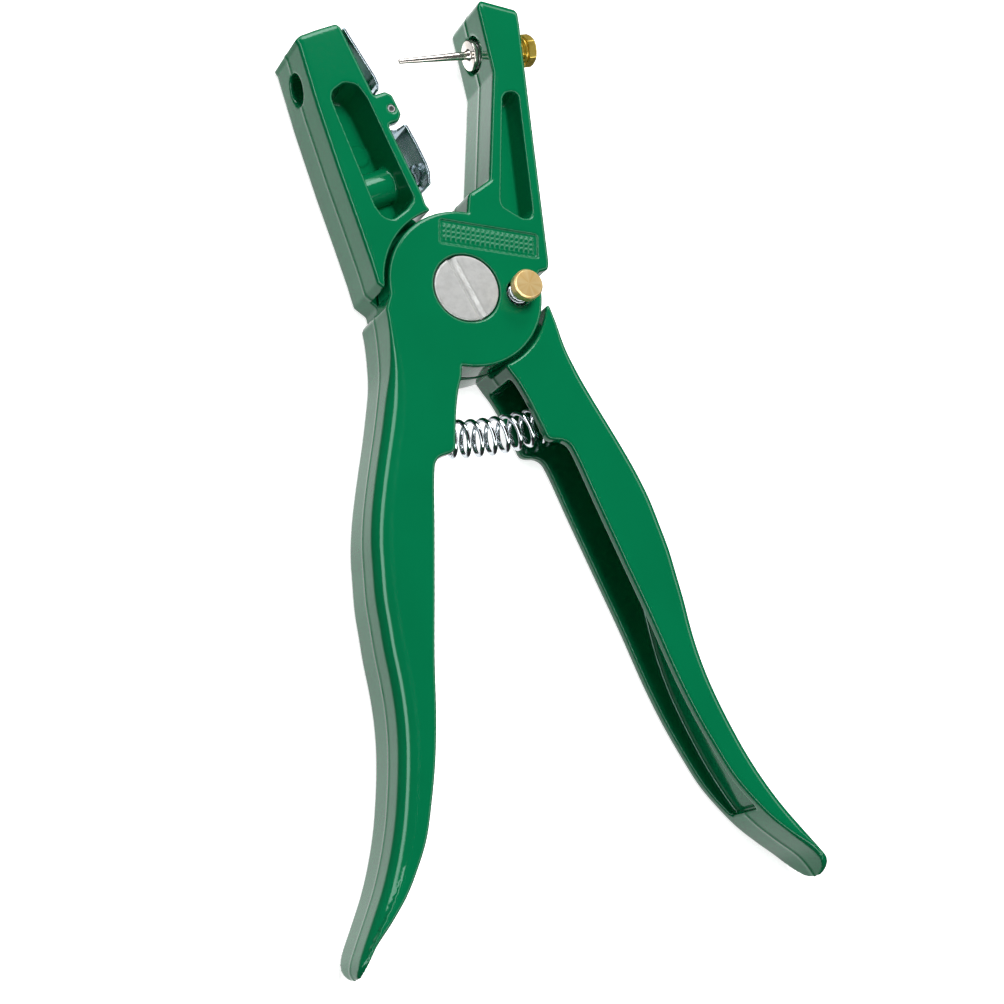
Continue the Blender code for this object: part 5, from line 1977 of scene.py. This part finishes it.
@dataclass
class ReturnSpring:
    """The bowed compression spring between the handles' webs."""

    bow: Bow
    radius: float = 4.45 * MM
    wire_radius: float = 0.62 * MM
    turns: int = 14
    steps: int = 32
    seat: float = 0.98 * MM

    def build(self) -> None:
        """Wind the wire round the bow and bake its place into its mesh."""
        seat = self.seat / self.bow.radius
        left, right = self.bow.left + seat, self.bow.right - seat
        share = np.linspace(0, 1, self.turns * self.steps + 1)
        middle_turn = left + (right - left) * share
        centre = self.bow.radius - self.bow.drop
        out = np.column_stack([np.sin(middle_turn), -np.cos(middle_turn),
                               np.zeros_like(share)])
        line = out * self.bow.radius + np.array([0, centre, self.bow.level])
        angle = 2 * np.pi * self.turns * share
        path = line - out * (self.radius * np.cos(angle))[:, None]
        path[:, 2] += self.radius * np.sin(angle)
        piece = dress(wire("return_coil", path, self.wire_radius, THICK_WIRE_SIDES),
                      WIRE_ZINC.material("return_wire"), None, Slot.SPRING,
                      "return_spring")
        tuple(self.bow.at(left)[0])
        tuple(self.bow.at(right)[0])
        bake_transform(piece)


@dataclass
class Clip:
    """The sheet clip on the tag jaw, its hinge pin and its spring."""

    face: JawFace
    lever: TagLever
    sheet: float = 0.65 * MM
    gap: float = 0.3 * MM
    side_margin: float = 0.5 * MM
    thumb_margin: float = 0.9 * MM
    bulge_height: float = 32.4 * MM
    bulge: float = 2.45 * MM
    bulge_reach: float = 3.0 * MM
    bulge_fall: float = 0.95
    top_inset: float = 0.6 * MM
    neck_step: float = 0.1 * MM
    sheet_edge: float = 0.2 * MM
    ear_fillet: float = 0.4 * MM
    slot_rim: float = 0.15 * MM
    neck_margin: float = 0.8 * MM
    thumb_stand: float = 5.1 * MM
    thumb_end: float = 2.6 * MM
    thumb_end_stand: float = 4.2 * MM
    slot_width: float = 9.4 * MM
    slot_foot: float = 35.5 * MM
    ear_radius: float = 2.1 * MM
    ear_gap: float = 0.75 * MM
    pin_radius: float = 1.0 * MM
    pin_bore: float = 0.72 * MM
    spring_radius: float = 2.6 * MM
    spring_wire: float = 0.4 * MM
    spring_turns: int = 6
    spring_steps: int = 32
    pin_sides: int = 48
    cell: float = 0.17 * MM
    quick_cell: float = 0.3 * MM
    margin: int = 12

    def path(self) -> list[tuple[float, float, float]]:
        """The sheet in side view, top to bottom: height, stand-off and side margin.

        Returns:
            The rows.
        """
        flat = self.gap + self.sheet / 2
        narrow = self.lever.lug_thickness + 2 * self.gap
        wide, thumb, step = self.side_margin, self.thumb_margin, self.sheet
        neck_top = self.lever.lug_top + self.neck_margin
        neck_foot = self.lever.lug_foot - self.sheet / 2 - self.gap
        stand = self.lever.lug_stand
        spring = self.lever.spring_height
        return [
            (self.face.length - self.top_inset, flat, wide),
            (self.bulge_height + self.bulge_reach / 3, self.bulge, wide),
            (self.bulge_height - self.bulge_reach / 3, self.bulge * self.bulge_fall, wide),
            (neck_top, (self.bulge + flat) / 2, wide),
            (neck_top - self.neck_step, (self.bulge + flat) / 2 - self.neck_step, narrow),
            (self.lever.lug_top - step, flat, narrow),
            (self.lever.lug_foot + step, flat, narrow),
            (neck_foot, flat + step, narrow),
            (neck_foot - self.gap, stand - 2 * step, narrow),
            (neck_foot - 2 * self.gap, stand - step, thumb),
            (neck_foot - 3 * step / 2, stand, thumb),
            ((neck_foot + spring) / 2, self.thumb_stand, thumb),
            (spring, self.thumb_stand, thumb),
            ((spring + self.thumb_end) / 2, (self.thumb_stand * 2 + self.thumb_end_stand) / 3,
             thumb),
            (self.thumb_end, self.thumb_end_stand, thumb + 2 * step),
        ]

    def sheet_piece(self) -> Piece:
        """The bent sheet with its ears, hinge bore and forked top, as a field."""
        low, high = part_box("tag_clip")
        cell = self.cell
        lattice = Lattice(low, high, cell, self.margin)
        x, y, z = lattice.grids()
        rows = np.array(self.path())
        line = self.face.spots([tuple(row[:2]) for row in rows])
        away, place, _ = nearest_on_line(line, x, y, closed=False)
        index = np.minimum(np.floor(place).astype(int), len(rows) - 2)
        share = place - index
        margin = rows[index, 2] * (1 - share) + rows[index + 1, 2] * share
        middle = self.lever.thickness / 2
        side = np.abs(z - middle) - (middle - margin)
        body = round_cross(away - self.sheet / 2, side, self.sheet_edge)
        height, stand = self.face.heights(x, y)
        hinge_up = height - self.lever.hinge_height
        hinge_out = stand - self.lever.hinge_stand
        crown = np.hypot(hinge_up, np.maximum(hinge_out, 0)) - self.ear_radius
        ear_plan = np.maximum(crown, self.gap + self.sheet / 2 - stand)
        inner = middle - self.lever.lug_thickness - self.ear_gap
        ears = np.maximum(ear_plan, np.abs(np.abs(z - middle) - inner + self.sheet / 2)
                          - self.sheet / 2)
        body = round_join(body, ears, self.ear_fillet)
        body = np.maximum(body, self.pin_radius + self.gap - np.hypot(hinge_up, hinge_out))
        half = self.slot_width / 2
        slot_up = np.minimum(height - self.slot_foot - half, 0)
        slot = np.hypot(slot_up, z - middle) - half
        body = round_cut(body, slot, self.slot_rim)
        return skin("clip_sheet", body, lattice)

    def hinge_pin(self) -> Piece:
        """A pin with a deep hollow in each end, as a riveted one has."""
        low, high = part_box("clip_hinge_pin")
        x, y = self.face.at(self.lever.hinge_height, self.lever.hinge_stand)
        bore, wall = self.pin_bore, 3 * self.pin_radius
        corners = np.array([(0, low.z + wall), (bore, low.z + wall), (bore, low.z),
                            (self.pin_radius, low.z), (self.pin_radius, high.z),
                            (bore, high.z), (bore, high.z - wall), (0, high.z - wall)])
        return spun("hollow_pin", corners, Matrix.Translation((x, y, 0)), self.pin_sides)

    def spring(self) -> tuple[Piece, Vector, Vector]:
        """The small spring from the boss to the thumb plate, and its two ends.

        Returns:
            The bare piece and its two ends.
        """
        foot = Vector((*self.face.at(self.lever.spring_height, 0), self.lever.thickness / 2))
        out = Vector((*self.face.out, 0))
        low = self.gap + self.spring_wire - self.lever.spring_bore_depth
        high = self.thumb_stand - self.sheet / 2 - self.gap - self.spring_wire
        path = coil(self.spring_radius, self.spring_turns, low, high, self.spring_steps)
        piece = wire("clip_coil", moved(path, frame_on(foot, out)), self.spring_wire,
                     THIN_WIRE_SIDES)
        return piece, foot + out * low, foot + out * high

    def build(self) -> None:
        """Make and dress the three pieces, and bake the spring's place into its mesh."""
        dress(self.sheet_piece(), SHEET_ZINC.material("clip_zinc"), Body.CLIP, Slot.CLIP,
              "tag_clip")
        dress(self.hinge_pin(), SMALL_ZINC.material("hinge_zinc"), Body.TAG_SIDE, Slot.ZINC,
              "clip_hinge_pin")
        piece, start, end = self.spring()
        dress(piece, WIRE_ZINC.material("clip_wire"), None, Slot.SPRING, "clip_spring")
        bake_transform(piece)


# Studio

# Each soft lamp: its name, its place, its side, its power and whether metal mirrors it
LAMPS = (("sky_lamp", (0.02, 0.25, 1.3), 0.5, 14.0, False),
         ("key_lamp", (0.3, 0.85, 0.9), 0.45, 4.0, True))


@dataclass
class Studio:
    """White floor, soft lamps and the camera.

    Attributes:
        eye: Where the camera stands.
        target: The point at the middle of its picture.
        roll: How far the camera is turned about its line of sight, in degrees.
        lens: Focal length in millimetres.
        paper: The floor's colour.
        paper_painted_dark: Its colour as the tool mirrors it, painted dark so that only the
            painted reflection glow shows there.
        paper_dim: Light of the painted reflection glow where the floor is looked at flatly.
        paper_near: Slant up to which the painted reflection glow is white.
        paper_far: Slant from which the painted reflection glow is dark.
        paper_light: Light of the painted reflection glow.
        paper_glow: Light added to the floor as the camera sees it.
        band_low: Height of the bright band's foot, as a share of straight up.
        band_high: Height of the bright band's top.
        band_left: Light of the band on the left.
        band_right: Light of the band on the right.
        low_blend: Over what share of straight up the band's foot fades.
        high_blend: Over what share of straight up the band's top fades.
        room_light: Even light of the room on matt surfaces.
        painted_light_spot: The middle of a painted pool of light on the paper between the jaws,
            seen only in reflections.
        painted_light_reach: How far that painted light reaches.
        painted_light_strength: How much brighter the painted light makes the mirrored paper.
    """

    eye: tuple[float, float, float] = (-224.9 * MM, -151.8 * MM, 478.6 * MM)
    target: tuple[float, float, float] = (0.4 * MM, -54.5 * MM, 10.5 * MM)
    roll: float = -55.997
    lens: float = 74.67
    sensor: float = 36.0
    floor_half: float = 1.5
    floor_gap: float = 0.3 * MM
    paper: str = "#F4F4F4"
    paper_painted_dark: str = "#101010"
    paper_roughness: float = 0.9
    paper_dim: float = 0.02
    paper_near: float = 0.12
    paper_far: float = 0.3
    paper_light: float = 1.08
    paper_glow: float = 0.82
    band_low: float = 0.3
    band_high: float = 0.56
    low_blend: float = 0.05
    high_blend: float = 0.07
    band_left: float = 5.5
    band_right: float = 2.0
    room_light: float = 0.15
    painted_light_spot: tuple[float, float] = (8.0 * MM, 70.0 * MM)
    painted_light_reach: float = 42.0 * MM
    painted_light_strength: float = 1.7

    def camera(self) -> None:
        """Aim the camera along its line of sight, rolled about it."""
        data = bpy.data.cameras.new("camera")
        data.lens = self.lens
        data.sensor_width = self.sensor
        made = bpy.data.objects.new("camera", data)
        bpy.context.scene.collection.objects.link(made)
        sight = Vector(self.target) - Vector(self.eye)
        turn = sight.to_track_quat("-Z", "Y").to_matrix().to_4x4()
        roll = Matrix.Rotation(math.radians(-self.roll), 4, "Z")
        made.matrix_world = Matrix.Translation(self.eye) @ turn @ roll
        bpy.context.scene.camera = made

    def lamp(self, name: str, place: tuple[float, float, float], size: float,
             power: float, mirrored: bool) -> None:
        """A square soft lamp aimed at the pivot, seen in shiny surfaces or not.

        Args:
            name: The lamp's name.
            place: Where it stands.
            size: Its side.
            power: Its power in watts.
            mirrored: Whether shiny surfaces show it.
        """
        data = bpy.data.lights.new(name, "AREA")
        data.size = size
        data.energy = power
        made = bpy.data.objects.new(name, data)
        made.visible_glossy = mirrored
        bpy.context.scene.collection.objects.link(made)
        turn = (-Vector(place)).to_track_quat("-Z", "Y").to_matrix().to_4x4()
        made.matrix_world = Matrix.Translation(place) @ turn

    def floor(self) -> None:
        """A white floor just under the tool.

        The camera sees it as white. In the enamel and the metal it shows a painted reflection
        glow: white only where it is looked at steeply, which is close to the tool, dim elsewhere,
        and brighter in a painted pool of light between the jaws.
        """
        half = self.floor_half
        points = np.array([(-half, -half, 0), (half, -half, 0), (half, half, 0),
                           (-half, half, 0)]) - (0, 0, self.floor_gap)
        made = mesh_from("floor", points, np.array([(0, 1, 2, 3)]))
        material, tree, shader = new_material("floor_paper")
        seen = add_node(tree, "ShaderNodeLightPath").outputs
        # Glossy rays see the paper painted dark, under the painted reflection glow
        colour = add_node(tree, "ShaderNodeMix",
                          {"Factor": seen["Is Glossy Ray"], "A": linear(self.paper),
                           "B": linear(self.paper_painted_dark)}, data_type="RGBA")
        tree.links.new(colour.outputs["Result"], shader.inputs["Base Color"])
        shader.inputs["Roughness"].default_value = self.paper_roughness
        shader.inputs["Specular IOR Level"].default_value = 0.0
        # Painted reflection glow: for glossy rays the floor glows white where it is seen steeply
        # and dim where it is seen flatly
        slant = add_node(tree, "ShaderNodeLayerWeight", {"Blend": 0.5}).outputs["Facing"]
        painted_reflection_glow = add_node(tree, "ShaderNodeMapRange",
                         {"Value": slant, "From Min": self.paper_near, "From Max": self.paper_far,
                          "To Min": self.paper_light, "To Max": self.paper_dim})
        # A painted pool of light on the paper between the jaws, seen only in reflections
        place = add_node(tree, "ShaderNodeTexCoord")
        spot = add_node(tree, "ShaderNodeMapping",
                        {"Vector": place.outputs["Object"], "Location": (*self.painted_light_spot, 0),
                         "Scale": (self.painted_light_reach,) * 3}, vector_type="TEXTURE")
        painted_light_falloff = add_node(tree, "ShaderNodeTexGradient", {"Vector": spot.outputs["Vector"]},
                        gradient_type="SPHERICAL").outputs["Fac"]
        painted_light_factor = add_node(tree, "ShaderNodeMath", {0: painted_light_falloff, 1: self.painted_light_strength, 2: 1.0},
                        operation="MULTIPLY_ADD").outputs[0]
        painted_reflection_glow = add_node(tree, "ShaderNodeMath", {0: painted_reflection_glow.outputs["Result"], 1: painted_light_factor},
                         operation="MULTIPLY").outputs[0]
        # The painted reflection glow is shown to glossy rays only
        mirrored = add_node(tree, "ShaderNodeMath", {0: seen["Is Glossy Ray"], 1: painted_reflection_glow},
                            operation="MULTIPLY").outputs[0]
        direct = add_node(tree, "ShaderNodeMath",
                          {0: seen["Is Camera Ray"], 1: self.paper_glow, 2: mirrored},
                          operation="MULTIPLY_ADD")
        shader.inputs["Emission Color"].default_value = (1, 1, 1, 1)
        tree.links.new(direct.outputs[0], shader.inputs["Emission Strength"])
        made.data.materials.append(material)

    def world(self) -> None:
        """A dim room with a bright band of windows all round, strongest on the left."""
        world = bpy.data.worlds.new("room")
        bpy.context.scene.world = world
        world.use_nodes = True
        tree = world.node_tree
        back = tree.nodes["Background"]
        place = add_node(tree, "ShaderNodeTexCoord")
        parts = add_node(tree, "ShaderNodeSeparateXYZ", {0: place.outputs["Generated"]})
        band = ramp_node(tree, parts.outputs["Z"],
                         [(0.0, "#101010"), (self.band_low, "#161616"),
                          (self.band_low + self.low_blend, "#FFFFFF"),
                          (self.band_high, "#FFFFFF"),
                          (self.band_high + self.high_blend, "#202020"), (1.0, "#121212")])
        side = add_node(tree, "ShaderNodeMapRange",
                        {"Value": parts.outputs["X"], "From Min": -1.0, "From Max": 1.0,
                         "To Min": self.band_left, "To Max": self.band_right})
        seen = add_node(tree, "ShaderNodeLightPath").outputs
        strength = add_node(tree, "ShaderNodeMix",
                            {"Factor": seen["Is Glossy Ray"], "A": self.room_light,
                             "B": side.outputs["Result"]})
        shown = add_node(tree, "ShaderNodeMix",
                         {"Factor": seen["Is Glossy Ray"], "A": (1, 1, 1, 1), "B": band},
                         data_type="RGBA")
        camera = add_node(tree, "ShaderNodeMath",
                          {0: seen["Is Camera Ray"], 1: strength.outputs["Result"]},
                          operation="MAXIMUM")
        tree.links.new(shown.outputs["Result"], back.inputs["Color"])
        tree.links.new(camera.outputs[0], back.inputs["Strength"])

    def build(self) -> None:
        """Set up everything that isn't the tool."""
        self.camera()
        self.floor()
        self.world()
        for lamp in LAMPS:
            self.lamp(*lamp)
        bpy.context.scene.view_settings.view_transform = "Standard"


def main() -> None:
    """Build the studio and then every piece of the tool."""
    logging.basicConfig(level=logging.INFO, format="%(name)s: %(message)s")
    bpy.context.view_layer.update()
    Studio().build()
    bow = Bow()
    axis = PinAxis()
    face = JawFace()
    lock = Lock()
    enamel = Enamel().material("green_enamel")
    pin_lever = PinLever()
    dress(pin_lever.build(axis, bow, lock.centre), enamel, Body.PIN_SIDE, Slot.ENAMEL,
          "pin_lever")
    dress(pin_lever.panel.knurl(pin_lever.thickness), enamel, Body.PIN_SIDE, Slot.ENAMEL)
    tag_lever = TagLever()
    dress(tag_lever.build(face, bow, lock.centre), enamel, Body.TAG_SIDE, Slot.ENAMEL,
          "tag_lever")
    Pivot().build()
    Piercer(axis).build()
    lock.build()
    ReturnSpring(bow).build()
    Clip(face, tag_lever).build()


if __name__ == "__main__":
    main()
